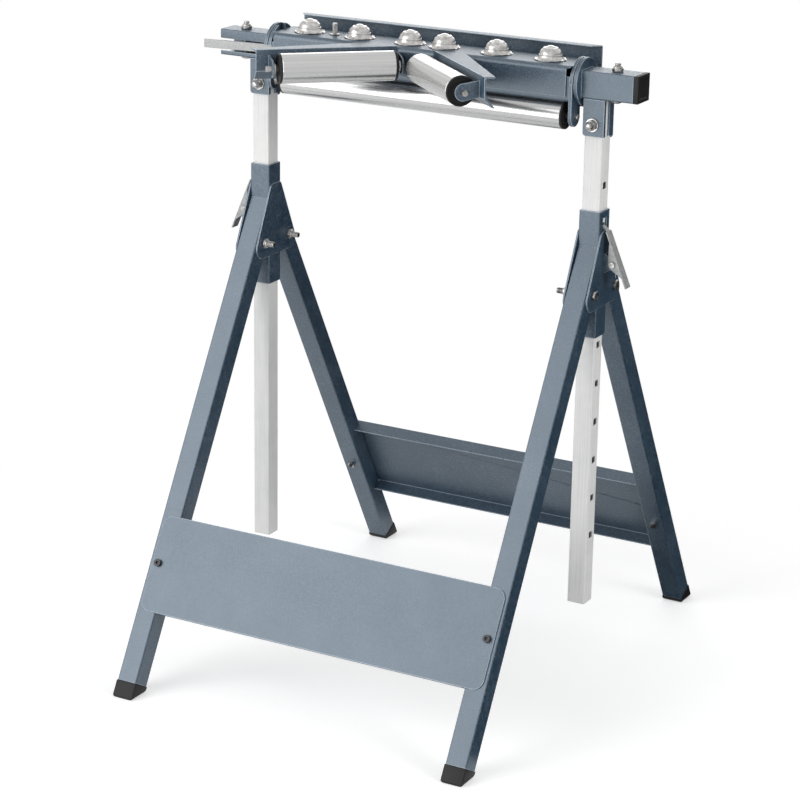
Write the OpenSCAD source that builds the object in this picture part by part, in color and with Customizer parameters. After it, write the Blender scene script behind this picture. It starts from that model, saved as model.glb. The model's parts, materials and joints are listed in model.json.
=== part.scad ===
// Height-adjustable roller stand with a turning head: ball castors, one long roller,
// a pair of rollers set in a V, and a flat rest plate. The folding trestle legs stand on
// the floor at z = 0, the long axis of the head lies along X, and the front is -Y.

/* [Stand] */
// Distance between the centres of the two posts
post_spacing = 508; // [460:1:600]
// Height of the point where the front of a leg meets its sleeve
seam_h = 630; // [560:1:700]
// Angle of an open leg from upright, in degrees
leg_angle = 29.6; // [24:0.1:32]
// Height of the axis that the head turns about above the leg seam, at rest
axis_above = 213.6; // [200:0.1:270]

/* [Sleeves] */
// Outer width of the square sleeve tube
sleeve_w = 30.6; // [30.4:0.1:31.4]
// Wall of the sleeve tube
sleeve_wall = 2.2; // [1.5:0.1:2.3]
// Height of the sleeve above the leg seam
sleeve_above = 47; // [42:1:60]
// Depth of the sleeve below the leg seam
sleeve_below = 125; // [110:1:140]
// Width of the latch window in the outer wall
window_w = 11; // [10:0.5:14]
// Height of the latch window
window_h = 18; // [16:0.5:22]
// Height of the window's centre above the leg seam
window_rise = 28; // [27:0.5:30]

/* [Cheek plates] */
// Thickness of the plates that hold the legs
cheek_t = 2.5; // [2:0.1:4]
// Height of the plates' crown above the leg seam
cheek_above = 20; // [14:1:24]
// Radius of the crown's corners
cheek_crown_r = 8; // [5:0.5:10]
// How far below the pivot bolt the lower corners are centred
cheek_drop = 8; // [4:0.5:12]

/* [Legs] */
// Wall of the square leg tube
leg_wall = 1.5; // [1:0.1:2.5]
// Length of a foot cap from its tube's end to the floor, along the middle of the leg
foot_sole = 16.5; // [12:0.1:30]
// Clearance between a folded leg and the post sleeve
fold_gap = 2.4; // [1:0.1:3]
// Height of the collar that a foot cap has inside the tube
foot_plug = 18; // [10:1:30]
// How far a foot cap stands proud of its tube
foot_lip = 0.8; // [0.4:0.1:2]

/* [Leg panels] */
// Height of the sheet panel along the leg
panel_h = 135; // [100:1:160]
// Distance from the foot cap to the panel's lower edge, along the leg
panel_above_foot = 99.5; // [60:0.5:200]
// Thickness of the panel sheet
panel_t = 2; // [1:0.1:3]
// Distance of the panel's ends from the legs' outer edges
panel_inset = 5; // [2:0.5:8]
// Radius of the panel's corners
panel_corner_r = 15; // [5:1:20]
// Depth of the flanges bent back between the legs
panel_flange = 21; // [10:1:26]
// Diameter of the panel screws
screw_d = 6; // [5:0.5:7]
// Diameter of a panel screw's socket head
screw_head_d = 10.5; // [9:0.5:12]
// Height of a panel screw's head
screw_head_h = 4; // [3:0.5:6]
// Width across the flats of a panel screw's socket
screw_socket = 4; // [3:0.5:5]
// Width across the flats of a panel nut
screw_nut_af = 10; // [9:0.5:11]
// Height of a panel nut
screw_nut_h = 5; // [4:0.5:6]

/* [Posts] */
// Outer width of the square post tube
post_w = 25.6; // [25:0.1:25.8]
// Wall of the post tube
post_wall = 1.5; // [1:0.1:2.5]
// Length of a post below the middle of its lowest height hole
post_tail = 98.5; // [60:0.5:104]
// Distance between two height holes
hole_pitch = 54.3; // [50:0.1:56]
// Number of height holes above the latched one
holes_above = 1; // [0:1:1]
// Number of height holes below the latched one
holes_below = 8; // [4:1:8]
// Width of a height hole
hole_w = 10; // [9.5:0.5:11]
// Height of a height hole
hole_h = 9; // [8.5:0.5:11]
// Height of the latched hole's centre above the leg seam
hole_rise = 25.9; // [25:0.1:27]

/* [Arms] */
// Outer width of the square arm tube
arm_w = 36; // [35:0.5:38]
// Wall of the arm tube
arm_wall = 2; // [1.5:0.1:2.5]
// Distance from the right post's centre out to its arm's tube end
arm_right_out = 55.5; // [46:0.5:66]
// Distance from the left post's centre out to its arm's open end
arm_left_out = 62; // [52:0.5:68]
// Length of the plastic end cap outside the tube
arm_cap_len = 7; // [6:0.5:12]
// Length of the end cap's collar inside the tube
arm_cap_plug = 12; // [8:1:16]
// Diameter of the discs between arm and head
disc_d = 64.5; // [60:0.5:70]
// Thickness of the discs
disc_t = 5; // [4:0.5:6]
// Distance from a post's centre in to the inner face of its arm's disc
disc_inset = 22.5; // [21:0.5:26]
// Gap between the two discs of a pair
disc_gap = 1; // [0.5:0.1:2]
// Distance from the right post's centre out to its arm's upright bolt
arm_bolt_out = 25; // [20:0.5:30]
// Distance from the left post's centre out to its arm's bolt, which the index lever turns on
lever_bolt_out = 30.5; // [26:0.5:34]
// Diameter of the pivot pin through a pair of discs
pivot_d = 12; // [10:0.5:14]
// Diameter of the heads on the pivot pin
pivot_head_d = 19; // [17:0.5:22]
// Height of the heads on the pivot pin
pivot_head_h = 3; // [2:0.5:3.4]

/* [Post brackets] */
// Thickness of the bracket sheet
bracket_t = 2.2; // [2:0.1:2.7]
// Height of the plates below the arm
bracket_h = 49; // [44:1:54]
// Distance of the front plate's flanged edge from the post's centre
bracket_front_out = 16.5; // [15.5:0.5:18]
// Depth of the front plate's flange
bracket_front_flange = 6; // [5:0.5:9]
// Depth of the rear plate's two flanges along the post
bracket_flange = 14; // [10:0.5:15]
// How much lower the rear plate ends than the front plate
bracket_drop = 5; // [0:0.5:8]
// Height of the clamping bolt above the plates' lower edge
bracket_bolt_rise = 15.3; // [12:0.1:20]
// Radius of the plates' lower corners
bracket_corner_r = 4; // [2:0.5:6]

/* [Head beam] */
// Depth of the beam from front to back
beam_w = 66; // [60:1:70]
// Height of the ball plate's top above the head's axis
beam_top = 23.9; // [22:0.1:26]
// Depth of the ball plate's sides
beam_side = 40; // [34:1:42]
// Thickness of the beam's sheet
beam_t = 2.5; // [2:0.1:3]
// Outer radius of the beam's bends
beam_r = 7; // [5:0.5:9]
// Distance of the ball plate's bent sides from the end plates, which its top reaches
ball_plate_inset = 4.5; // [2.5:0.5:9]
// Height of the beam's lower channel
tray_h = 34; // [28:0.5:40]
// Distance of the lower channel's bottom below the head's axis
tray_below = 23.5; // [22:0.1:24]

/* [End plates] */
// Width of the tongue that carries the long roller
tongue_w = 27; // [24:0.5:30]
// Height of the lobe that carries the rest plate
lobe_h = 24; // [20:0.5:30]
// Distance of the lobe's lower edge below the head's axis
lobe_below = 16; // [14:0.5:20]
// Width of the notches that the index lever drops into
notch_w = 15; // [14.5:0.5:16]
// Depth of the notches in the discs' rims
notch_depth = 17.5; // [16.5:0.5:18]

/* [Rest plate] */
// Distance of the rest plate's outer face behind the head's axis
rest_back = 63; // [56:0.5:66]
// Height of the rest plate
rest_h = 76; // [70:1:90]
// Distance of the rest plate's ends inside the end plates' outer faces
rest_inset = 2; // [0.5:0.5:4.5]
// Thickness of the rest plate's sheet
rest_t = 2; // [1.5:0.1:3]
// Depth of the rest plate's lips
rest_lip = 15; // [12:0.5:18]
// Length of the cut corners at the lips' ends
rest_chamfer = 10; // [4:0.5:12]

/* [Ball castors] */
// Distance of the outer castors from the end plates
castor_end = 43; // [36:0.5:56]
// Diameter of a castor's base flange
castor_flange_d = 44; // [42:0.5:48]
// Thickness of a castor's base flange
castor_flange_t = 1.2; // [1:0.1:2]
// Diameter of a castor's housing at its waist
castor_waist_d = 35; // [33:0.5:37]
// Diameter of a castor's housing at its shoulder
castor_shoulder_d = 30; // [28:0.5:32]
// Height of a castor's housing
castor_h = 16; // [15.5:0.1:16.6]
// Diameter of a ball
ball_d = 18; // [17.6:0.1:18.2]
// Height of a ball's centre above the ball plate
ball_rise = 9.6; // [9.6:0.1:9.8]
// Distance of the stud in the ball plate from the left end plate
stud_end = 82.5; // [80:0.5:85]
// Diameter of the stud
stud_d = 7; // [5:0.5:8]
// Height of the stud above the ball plate
stud_h = 16; // [10:0.5:18]

/* [Long roller] */
// Diameter of the long roller
long_roller_d = 36; // [34:0.5:37]
// Play between the long roller's caps and the axle nuts, both ends together
long_roller_play = 12; // [2:0.5:20]
// How far the long roller is set to the right of the middle of the stand
long_roller_shift = 3.5; // [0:0.5:4.5]
// Distance of the long roller's axis in front of the head's axis
long_roller_front = 19.5; // [18:0.1:21]
// Distance of the long roller's axis below the head's axis
long_roller_below = 43; // [42.5:0.1:46]
// Wall of the roller tubes
roller_wall = 2; // [1.5:0.1:3]
// Length of a plastic end cap outside the roller tube
roller_cap_len = 3; // [2:0.5:6]
// Length of a plastic end cap's collar inside the roller tube
roller_cap_plug = 12; // [8:1:16]

/* [V rollers] */
// Diameter of the V rollers
v_roller_d = 40; // [38:0.5:41]
// Length of a V roller with its end caps
v_roller_len = 158; // [140:0.5:159]
// Angle of a V roller from the long roller, in degrees
v_angle = 42; // [40:0.1:43]
// Distance from the middle of the stand to the middle of a V roller
v_mid_x = 76.5; // [74.5:0.5:78]
// Distance of the middle of a V roller in front of the head's axis
v_mid_front = 106.5; // [104:0.5:112]
// Height of the V rollers' axes above the head's axis
v_rise = 3.4; // [0:0.1:4]
// Distance of the bracket's web behind its roller's axis
v_web_back = 21.5; // [21.2:0.1:23]
// Thickness of the bracket's sheet
v_t = 2.5; // [2:0.1:3]
// Height of the web
v_web_h = 29; // [27:0.5:32]
// Distance from the roller's axis up to the web's upper edge
v_web_above = 22; // [21:0.5:24]
// Depth of the upper flange at the beam
v_flange_in = 35; // [30:1:38]
// Depth of the upper flange at its outer end
v_flange_out = 11; // [8:1:16]
// Length of the lower flange, which is bent down and back
v_lower_flange = 18; // [12:1:20]
// Length of the web outside the outer ear
v_tail = 17; // [12:1:20]
// Height of an ear where it meets the web
v_ear_h = 21; // [18:0.5:24]
// Length of axle that shows outside the outer ear
v_axle_tail = 8; // [4:0.5:9]
// Radius of the ears' round ends
v_ear_r = 11.5; // [10:0.5:12]
// Distance between a roller's cap and the ear beside it
ear_gap = 6.5; // [6.2:0.1:7]

/* [Index lever] */
// Distance from the left post's centre out to the lever's outer end
lever_out = 81.5; // [76:0.5:96]
// Distance of the lever's front strip in front of its bolt
lever_front = 24.5; // [24.5:0.5:27]
// Angle between the lever's strip and the arm, in degrees
lever_turn = 7; // [3:0.5:8]
// Height of the lever
lever_h = 12; // [10:0.5:12]
// Thickness of the lever's sheet
lever_t = 3; // [2:0.5:3]
// Distance of the lever's lower edge above the arm's bottom
lever_rise = 10; // [8:0.1:10.5]
// Distance of the slot's lower edge above the arm's bottom
slot_above = 6.2; // [4:0.1:7.5]
// Height of the slot for the lever
slot_h = 17; // [17:0.5:20]

/* [Latches] */
// Distance of a latch's pin outside the post's centre
latch_pin_out = 31.5; // [30:0.1:34]
// Distance of a latch's pin below the leg seam
latch_pin_below = 23.5; // [20:0.5:28]
// Diameter of a latch's pin
latch_pin_d = 6; // [5:0.5:7]
// Width of the latch lever
latch_w = 15; // [14:0.5:17]
// Width of the latch lever's tip
latch_tip_w = 8; // [6:0.5:8]
// Thickness of the latch lever's sheet
latch_t = 2; // [1.5:0.1:2.2]
// Distance of the tip outside the post's face at rest
latch_tip_gap = 0.3; // [0.3:0.1:0.6]
// Height of the tip above the leg seam
latch_tip_rise = 27.5; // [26.5:0.1:28]
// Distance of the bend outside the post's centre
latch_bend_out = 22; // [21.4:0.1:24]
// Height of the bend above the leg seam
latch_bend_rise = 20.5; // [19:0.5:22]
// Distance of the tail outside the post's centre
latch_tail_out = 53; // [50:0.1:56]
// Distance of the tail below the leg seam
latch_tail_below = 53; // [48:1:58]
// Diameter of the round end of the lever's flanges at the pin
latch_boss_d = 13; // [12:0.5:15]
// Distance between the outer faces of the latch bracket's ears
latch_ear_w = 10.6; // [10:0.1:10.8]
// Thickness of the latch bracket's ears
latch_ear_t = 2; // [1.5:0.1:2.5]
// Diameter of the spring's wire
spring_wire = 1.2; // [1:0.1:1.4]

/* [Fasteners] */
// Diameter of the structural bolts
bolt_d = 8; // [7:0.1:9]
// Width across the flats of bolt heads and nuts
hex_af = 13; // [12:0.5:15]
// Height of a hexagon bolt head
head_h = 5.3; // [4:0.1:6]
// Height of a lock nut
nut_h = 7; // [6:0.1:8]
// Length of bolt that shows past its nut
bolt_tail = 4.5; // [2:0.1:6]
// Length of a leg's pivot bolt that shows past its nut
pivot_tail = 10; // [4:0.5:12]
// Diameter of a washer
washer_d = 18; // [16:0.5:20]
// Thickness of a washer
washer_t = 1.6; // [1:0.1:2]
// Thickness of the axle nuts beside the rollers
axle_nut_h = 5; // [4:0.1:5.6]

/* [Fits] */
// Radial clearance where one round part turns on another
run_gap = 0.06; // [0.02:0.01:0.1]
// Clearance of a flat or loose part beside its neighbour
side_gap = 0.3; // [0.2:0.05:0.5]
// Clearance between fixed pieces that are assembled, not welded
seat_gap = 0.1; // [0.05:0.01:0.2]
// Corner radius of the square tubes
tube_r = 2; // [1:0.1:2.4]

/* [Hidden] */
$fn = 48;
over = post_w;
far = post_spacing * 3;

post_x = post_spacing / 2;
axis_h = seam_h + axis_above;
arm_right_end = post_x + arm_right_out;
arm_left_end = post_x + arm_left_out;
arm_bolt_at = post_x + arm_bolt_out;
lever_bolt_at = post_x + lever_bolt_out;
lever_end = post_x + lever_out;
arm_end = arm_right_end + arm_cap_len;
centre_shift = (lever_end - arm_end) / 2;

leg_w = sleeve_w - 2 * side_gap;
pivot_y = sleeve_w / 2 + fold_gap + leg_w / 2;
stop_y = pivot_y - sleeve_w / 2 - seat_gap;
leg_rise = (fold_gap + leg_w / 2 + leg_w / 2 * cos(leg_angle)) / sin(leg_angle);
pivot_h = seam_h - leg_rise * cos(leg_angle) - leg_w / 2 * sin(leg_angle);
leg_drop = pivot_h / cos(leg_angle) - foot_sole;
panel_top = panel_above_foot + panel_h - leg_drop;
panel_mid = panel_top - panel_h / 2;
panel_half = post_x + leg_w / 2 - panel_inset;
panel_flange_half = post_x - leg_w / 2 - side_gap;

sleeve_top_h = seam_h + sleeve_above;
sleeve_bottom_h = seam_h - sleeve_below;
arm_bottom_h = axis_h - arm_w / 2;
latched_h = seam_h + hole_rise;
post_bottom = latched_h - holes_below * hole_pitch - post_tail;
bracket_bolt_h = arm_bottom_h - bracket_h + bracket_bolt_rise;
bracket_out = post_w / 2 + side_gap + bracket_t;
bracket_in = post_w / 2 + bracket_t / 2;
bracket_back = post_w / 2 + seat_gap + bracket_t;

disc_at = post_x - disc_inset;
head_disc_out = disc_at - disc_gap;
head_disc_in = head_disc_out - disc_t;
arm_disc_out = disc_at + disc_t;
ball_plate_half = head_disc_in - ball_plate_inset;
rest_half = head_disc_out - rest_inset;
stud_at = head_disc_in - stud_end;
long_roller_half = head_disc_in - axle_nut_h - roller_cap_len - long_roller_play / 2;
plate_z = axis_h + beam_top;
tray_z = axis_h - tray_below;
v_tube_half = v_roller_len / 2 - roller_cap_len;
ear_out = v_roller_len / 2 + ear_gap + v_t;
web_end = ear_out + v_tail;
lever_z = arm_bottom_h + lever_rise;
notch_mid = lever_z + lever_h / 2 - axis_h;
latch_pin_h = seam_h - latch_pin_below;

// Shares of the outer castors' distance from the middle at which the castors stand
castor_place_shares = [-1, -0.57, -0.1425, 0.1425, 0.57, 1];
castor_xs = castor_place_shares * (head_disc_in - castor_end);
// Shares of a nut's height and width taken by its round collar
nut_shares = [0.3, 0.92];
// Share of a screw head's height that its socket goes down
socket_share = 0.6;
// Width of a pin's head as a share of the pin's diameter
pin_head_share = 1.5;
// Shares of a castor housing's height at its waist, shoulder and crown
castor_shares = [0.42, 0.64, 0.9];
// Share of a castor housing's shoulder width taken by its mouth's radius
castor_mouth_share = 0.36;

paint = "slategray";
zinc = "silver";
steel = "gainsboro";
plastic = "dimgray";

// Places a piece in the object's frame, whose origin is below the middle of its box
module framed() {
    translate([centre_shift, 0, 0]) children();
}

// Draws a right-hand piece on the right, or mirrored on the left
module on_side(s) {
    if (s < 0) mirror([1, 0, 0]) children();
    else children();
}

module both_sides() {
    for (s = [-1, 1]) on_side(s) children();
}

// Children are drawn in the front leg's own frame: pivot at the origin, leg hanging
// straight down along -Z, its outer face towards -Y
module front_leg_frame() {
    translate([0, -pivot_y, pivot_h]) rotate([-leg_angle, 0, 0]) children();
}

module rear_leg_frame() {
    mirror([0, 1, 0]) front_leg_frame() children();
}

module at_axis() {
    translate([0, 0, axis_h]) children();
}

// Children are drawn with the V roller's axis along X and the bracket's web behind it
module v_frame(s) {
    on_side(s) translate([v_mid_x, -v_mid_front, axis_h + v_rise]) rotate([0, 0, -v_angle]) children();
}

// A rectangle with round corners, centred on the origin
module round_rect(w, h, r) {
    square([w - 2 * r, h], center = true);
    square([w, h - 2 * r], center = true);
    for (x = [-1, 1], y = [-1, 1]) translate([x * (w / 2 - r), y * (h / 2 - r)]) circle(r = r);
}

// A square tube that stands on z = 0
module square_tube(w, wall, len) {
    difference() {
        linear_extrude(len) round_rect(w, w, tube_r);
        translate([-w / 2 + wall, -w / 2 + wall, -over]) cube([w - 2 * wall, w - 2 * wall, len + 2 * over]);
    }
}

// A channel profile in the plane, open downwards, with its back on y = 0
module channel_2d(w, h, t, r) {
    difference() {
        translate([0, -h]) round_rect(w, 2 * h, r);
        translate([0, -h]) round_rect(w - 2 * t, 2 * (h - t), r - t);
        translate([-w, -3 * h]) square([2 * w, 2 * h]);
    }
}

module rod_x(x0, x1, d) {
    translate([x0, 0, 0]) rotate([0, 90, 0]) cylinder(d = d, h = x1 - x0);
}

module rod_y(y0, y1, d) {
    translate([0, y0, 0]) rotate([-90, 0, 0]) cylinder(d = d, h = y1 - y0);
}

module hex_x(x0, x1) {
    translate([x0, 0, 0]) rotate([0, 90, 0]) cylinder(d = hex_af / cos(30), h = x1 - x0, $fn = 6);
}

// A lock nut along +X from x = 0: hexagon with a round collar, and its thread hole
module nut_x(h) {
    difference() {
        union() {
            hex_x(0, h * (1 - nut_shares[0]));
            rod_x(0, h, hex_af * nut_shares[1]);
        }
        rod_x(-over, h + over, bolt_d + 2 * seat_gap);
    }
}

// Sleeves and what is fixed to them

module sleeve(s) {
    difference() {
        translate([s * post_x, 0, sleeve_bottom_h]) square_tube(sleeve_w, sleeve_wall, sleeve_top_h - sleeve_bottom_h);
        translate([s * (post_x + sleeve_w / 2), 0, seam_h + window_rise])
            cube([3 * sleeve_wall, window_w, window_h], center = true);
    }
}

module cheek_2d() {
    lower_y = pivot_y + cheek_drop * sin(leg_angle);
    lower_z = pivot_h - cheek_drop * cos(leg_angle);
    hull() {
        for (s = [-1, 1]) {
            translate([s * lower_y, lower_z]) circle(d = leg_w, $fn = 32);
            translate([s * (sleeve_w / 2 - cheek_crown_r), seam_h + cheek_above - cheek_crown_r])
                circle(r = cheek_crown_r, $fn = 32);
        }
    }
}

// One plate stands on each side of a sleeve and both of its legs
module cheek_plates(s) {
    for (x = [-sleeve_w / 2 - cheek_t, sleeve_w / 2]) {
        difference() {
            translate([s * post_x + x, 0, 0]) rotate([90, 0, 90]) linear_extrude(cheek_t) cheek_2d();
            for (y = [-1, 1]) translate([s * post_x, y * pivot_y, pivot_h])
                rod_x(x - over, x + cheek_t + over, bolt_d + 2 * seat_gap);
        }
    }
}

module at_leg_pivots() {
    both_sides() for (y = [-1, 1]) translate([post_x, y * pivot_y, pivot_h]) children();
}

module leg_pivot_bolt() {
    face = sleeve_w / 2 + cheek_t;
    rod_x(-face - nut_h - pivot_tail, face + head_h / 2, bolt_d);
    hex_x(face, face + head_h);
}

module leg_pivot_nut() {
    translate([-sleeve_w / 2 - cheek_t, 0, 0]) mirror([1, 0, 0]) nut_x(nut_h);
}

// Latches, drawn for the right side with the pin's axis along Y

module at_latch_pin() {
    translate([post_x + latch_pin_out, 0, latch_pin_h]) children();
}

module latch_bracket() {
    base_x = sleeve_w / 2 + cheek_t - latch_pin_out;
    difference() {
        for (y = [-latch_ear_w / 2, latch_ear_w / 2 - latch_ear_t]) {
            translate([0, y + latch_ear_t, 0]) rotate([90, 0, 0]) linear_extrude(latch_ear_t) hull() {
                circle(d = latch_pin_d * pin_head_share, $fn = 32);
                translate([base_x, -latch_boss_d]) square([latch_ear_t, 2 * latch_boss_d]);
            }
        }
        rod_y(-latch_w, latch_w, latch_pin_d + 2 * seat_gap);
    }
    translate([base_x, -latch_ear_w / 2, -latch_boss_d]) cube([latch_ear_t, latch_ear_w, 2 * latch_boss_d]);
}

module latch_pin() {
    rod_y(-latch_w / 2, latch_w / 2, latch_pin_d);
    for (m = [0, 1]) mirror([0, m, 0]) rod_y(latch_w / 2 + side_gap, latch_w / 2 + side_gap + latch_t, latch_pin_d * pin_head_share);
    rod_y(-latch_w / 2 - latch_t, latch_w / 2 + latch_t, latch_pin_d);
}

// Flat-wound coil on the pin, with one leg on the bracket and one on the lever
module latch_spring() {
    coil_r = latch_pin_d / 2 + spring_wire;
    turns_w = latch_ear_w - 2 * latch_ear_t - 2 * side_gap;
    leg_len = latch_pin_out - sleeve_w / 2 - cheek_t - latch_ear_t - spring_wire;
    difference() {
        rod_y(-turns_w / 2, turns_w / 2, 2 * coil_r);
        rod_y(-turns_w, turns_w, latch_pin_d + 2 * seat_gap);
    }
    translate([-leg_len, turns_w / 2 - spring_wire, -coil_r]) cube([leg_len, spring_wire, spring_wire]);
    translate([coil_r - spring_wire, -turns_w / 2, -latch_pin_d * 3]) cube([spring_wire, spring_wire, latch_pin_d * 3]);
}

function latch_point(out, rise) = [out - latch_pin_out, rise + latch_pin_below];

// The lever's side flanges and its bent plate, with the pin at the origin
module latch() {
    tip = latch_point(post_w / 2 + latch_tip_gap, latch_tip_rise);
    bend = latch_point(latch_bend_out, latch_bend_rise);
    tail = latch_point(latch_tail_out, -latch_tail_below);
    along = (tail - bend) / norm(tail - bend);
    inward = [along[1], -along[0]] * latch_t;
    difference() {
        union() {
            translate([0, latch_tip_w / 2, 0]) rotate([90, 0, 0]) linear_extrude(latch_tip_w)
                polygon([tip, tip - [0, latch_t], bend - [latch_t, latch_t], bend + along * latch_t, bend]);
            translate([0, latch_w / 2, 0]) rotate([90, 0, 0]) linear_extrude(latch_w)
                polygon([bend, tail, tail + inward, bend + inward]);
            for (y = [-latch_w / 2, latch_w / 2 - latch_t]) {
                translate([0, y + latch_t, 0]) rotate([90, 0, 0]) linear_extrude(latch_t) hull() {
                    circle(d = latch_boss_d, $fn = 32);
                    polygon([bend + along * latch_w, tail - along * latch_w, tail - along * latch_w + inward,
                             bend + along * latch_w + inward]);
                }
            }
        }
        rod_y(-latch_w, latch_w, latch_pin_d + 2 * run_gap);
    }
}

// Legs, drawn in the front leg's frame

module leg() {
    difference() {
        translate([0, 0, -leg_drop]) square_tube(leg_w, leg_wall, leg_drop + leg_rise);
        rotate([leg_angle, 0, 0]) translate([-far / 2, stop_y, -far / 2]) cube([far, far, far]);
        rod_x(-over, over, bolt_d + 2 * run_gap);
        translate([0, 0, panel_mid]) rod_y(-over, over, screw_d + 2 * seat_gap);
    }
}

module foot() {
    outer = leg_w + 2 * foot_lip;
    inner = leg_w - 2 * leg_wall - 2 * seat_gap;
    difference() {
        union() {
            mirror([0, 0, 1]) translate([0, 0, leg_drop]) linear_extrude(leg_w + over) round_rect(outer, outer, tube_r);
            translate([-inner / 2, -inner / 2, -leg_drop - over / 2]) cube([inner, inner, foot_plug + over / 2]);
        }
        rotate([leg_angle, 0, 0]) translate([-far / 2, -far / 2, -pivot_h - far]) cube([far, far, far]);
    }
}

module panel() {
    face = leg_w / 2;
    difference() {
        union() {
            translate([0, -face, panel_mid]) rotate([90, 0, 0]) linear_extrude(panel_t)
                round_rect(2 * panel_half, panel_h, panel_corner_r);
            for (z = [panel_top - panel_t, panel_top - panel_h])
                translate([-panel_flange_half, -face - panel_t / 2, z])
                    cube([2 * panel_flange_half, panel_flange - panel_t / 2, panel_t]);
        }
        for (s = [-1, 1]) translate([s * post_x, 0, panel_mid]) rod_y(-face - over, -face + over, screw_d + 2 * seat_gap);
    }
}

module at_panel_screws() {
    for (s = [-1, 1]) translate([s * post_x, 0, panel_mid]) children();
}

module panel_screw() {
    face = -leg_w / 2 - panel_t;
    difference() {
        union() {
            rod_y(face - screw_head_h / 2, leg_w / 2 + screw_nut_h + panel_t, screw_d);
            rod_y(face - screw_head_h, face, screw_head_d);
        }
        translate([0, face - screw_head_h - over, 0]) rotate([-90, 0, 0])
            cylinder(d = screw_socket / cos(30), h = over + screw_head_h * socket_share, $fn = 6);
    }
}

module panel_nut() {
    difference() {
        translate([0, leg_w / 2, 0]) rotate([-90, 0, 0])
            cylinder(d = screw_nut_af / cos(30), h = screw_nut_h, $fn = 6);
        rod_y(-over, over + leg_w, screw_d + 2 * seat_gap);
    }
}

// Posts, arms and what is fixed to them

module post(s) {
    difference() {
        translate([s * post_x, 0, post_bottom]) square_tube(post_w, post_wall, arm_bottom_h - post_bottom);
        for (k = [-holes_below : holes_above])
            translate([s * (post_x + post_w / 2), 0, latched_h + k * hole_pitch])
                cube([3 * post_wall, hole_w, hole_h], center = true);
        translate([s * post_x, 0, bracket_bolt_h]) rod_y(-over, over, bolt_d + 2 * seat_gap);
    }
}

// Tube and disc of a right-hand arm, with its end and the place of its upright bolt
module arm(end, bolt_at) {
    difference() {
        at_axis() union() {
            translate([arm_disc_out - disc_t / 2, 0, 0]) rotate([90, 0, 90])
                square_tube(arm_w, arm_wall, end - arm_disc_out + disc_t / 2);
            rod_x(disc_at, arm_disc_out, disc_d);
        }
        at_axis() rod_x(disc_at - over, disc_at + over, pivot_d + 2 * seat_gap);
        translate([bolt_at, 0, arm_bottom_h - over]) cylinder(d = bolt_d + 2 * seat_gap, h = arm_w + 2 * over);
    }
}

module arm_left() {
    slot_len = arm_left_end - disc_at + 2 * over;
    color(paint) framed() difference() {
        on_side(-1) arm(arm_left_end, lever_bolt_at);
        translate([-arm_left_end - over, notch_depth - disc_d / 2 - arm_w, arm_bottom_h + slot_above])
            cube([slot_len, arm_w, slot_h]);
    }
}

// Front plate of a post, with one flange on its +X side
module front_bracket() {
    difference() {
        translate([0, -arm_w / 2, arm_bottom_h]) {
            translate([0, bracket_t, 0]) rotate([90, 0, 0]) linear_extrude(bracket_t) {
                bracket_2d(-bracket_in, bracket_front_out);
                translate([0, -bracket_h]) square([bracket_front_out, bracket_h]);
            }
            translate([bracket_front_out - bracket_t, 0, -bracket_h]) cube([bracket_t, bracket_front_flange, bracket_h]);
        }
        translate([0, 0, bracket_bolt_h]) rod_y(-over, over, bolt_d + 2 * seat_gap);
    }
}

// Rear plate of a post, with a flange on each of its sides
module rear_bracket() {
    difference() {
        translate([0, bracket_back, arm_bottom_h]) {
            rotate([90, 0, 0]) linear_extrude(bracket_t) translate([0, -bracket_drop]) bracket_2d(-bracket_out, bracket_out);
            translate([-bracket_out, -bracket_t, -bracket_h]) cube([2 * bracket_out, bracket_t, bracket_h]);
            for (x = [-bracket_out, bracket_out - bracket_t])
                translate([x, -bracket_flange, bracket_corner_r - bracket_h - bracket_drop])
                    cube([bracket_t, bracket_flange, bracket_h + bracket_drop - bracket_corner_r]);
        }
        translate([0, 0, bracket_bolt_h]) rod_y(-over, over, bolt_d + 2 * seat_gap);
    }
}

// Outline of a plate between two edges, with its top on y = 0
module bracket_2d(x0, x1) {
    r = bracket_corner_r;
    translate([x0, -bracket_h + r]) square([x1 - x0, bracket_h - r]);
    translate([x0 + r, -bracket_h]) square([x1 - x0 - 2 * r, bracket_h]);
    for (x = [x0 + r, x1 - r]) translate([x, -bracket_h + r]) circle(r = r);
}

module post_bolt() {
    translate([post_x, 0, bracket_bolt_h]) {
        rod_y(-arm_w / 2 - washer_t - nut_h - bolt_tail, bracket_back + head_h / 2, bolt_d);
        translate([0, bracket_back, 0]) rotate([-90, 0, 0]) cylinder(d = hex_af / cos(30), h = head_h, $fn = 6);
    }
}

module post_washer() {
    translate([post_x, 0, bracket_bolt_h]) difference() {
        rod_y(-arm_w / 2 - washer_t, -arm_w / 2, washer_d);
        rod_y(-arm_w, 0, bolt_d + 2 * seat_gap);
    }
}

// Children are drawn at the lower end of each arm's upright bolt
module at_arm_bolts() {
    for (x = [-lever_bolt_at, arm_bolt_at]) translate([x, 0, arm_bottom_h]) children();
}

module arm_bolt() {
    translate([0, 0, -head_h / 2]) cylinder(d = bolt_d, h = head_h / 2 + arm_w + nut_h + bolt_tail);
    translate([0, 0, -head_h]) cylinder(d1 = bolt_d, d2 = 2 * bolt_d, h = head_h / 2);
    translate([0, 0, -head_h / 2]) cylinder(d = 2 * bolt_d, h = head_h / 2);
}

// A pin with a head on each side of a pair of discs
module pivot_pin() {
    inner = head_disc_in - side_gap;
    at_axis() {
        rod_x(inner - pivot_head_h / 2, arm_disc_out + pivot_head_h / 2, pivot_d);
        rod_x(inner - pivot_head_h, inner, pivot_head_d);
        rod_x(arm_disc_out, arm_disc_out + pivot_head_h, pivot_head_d);
    }
}

// The head that turns between the arms

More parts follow.
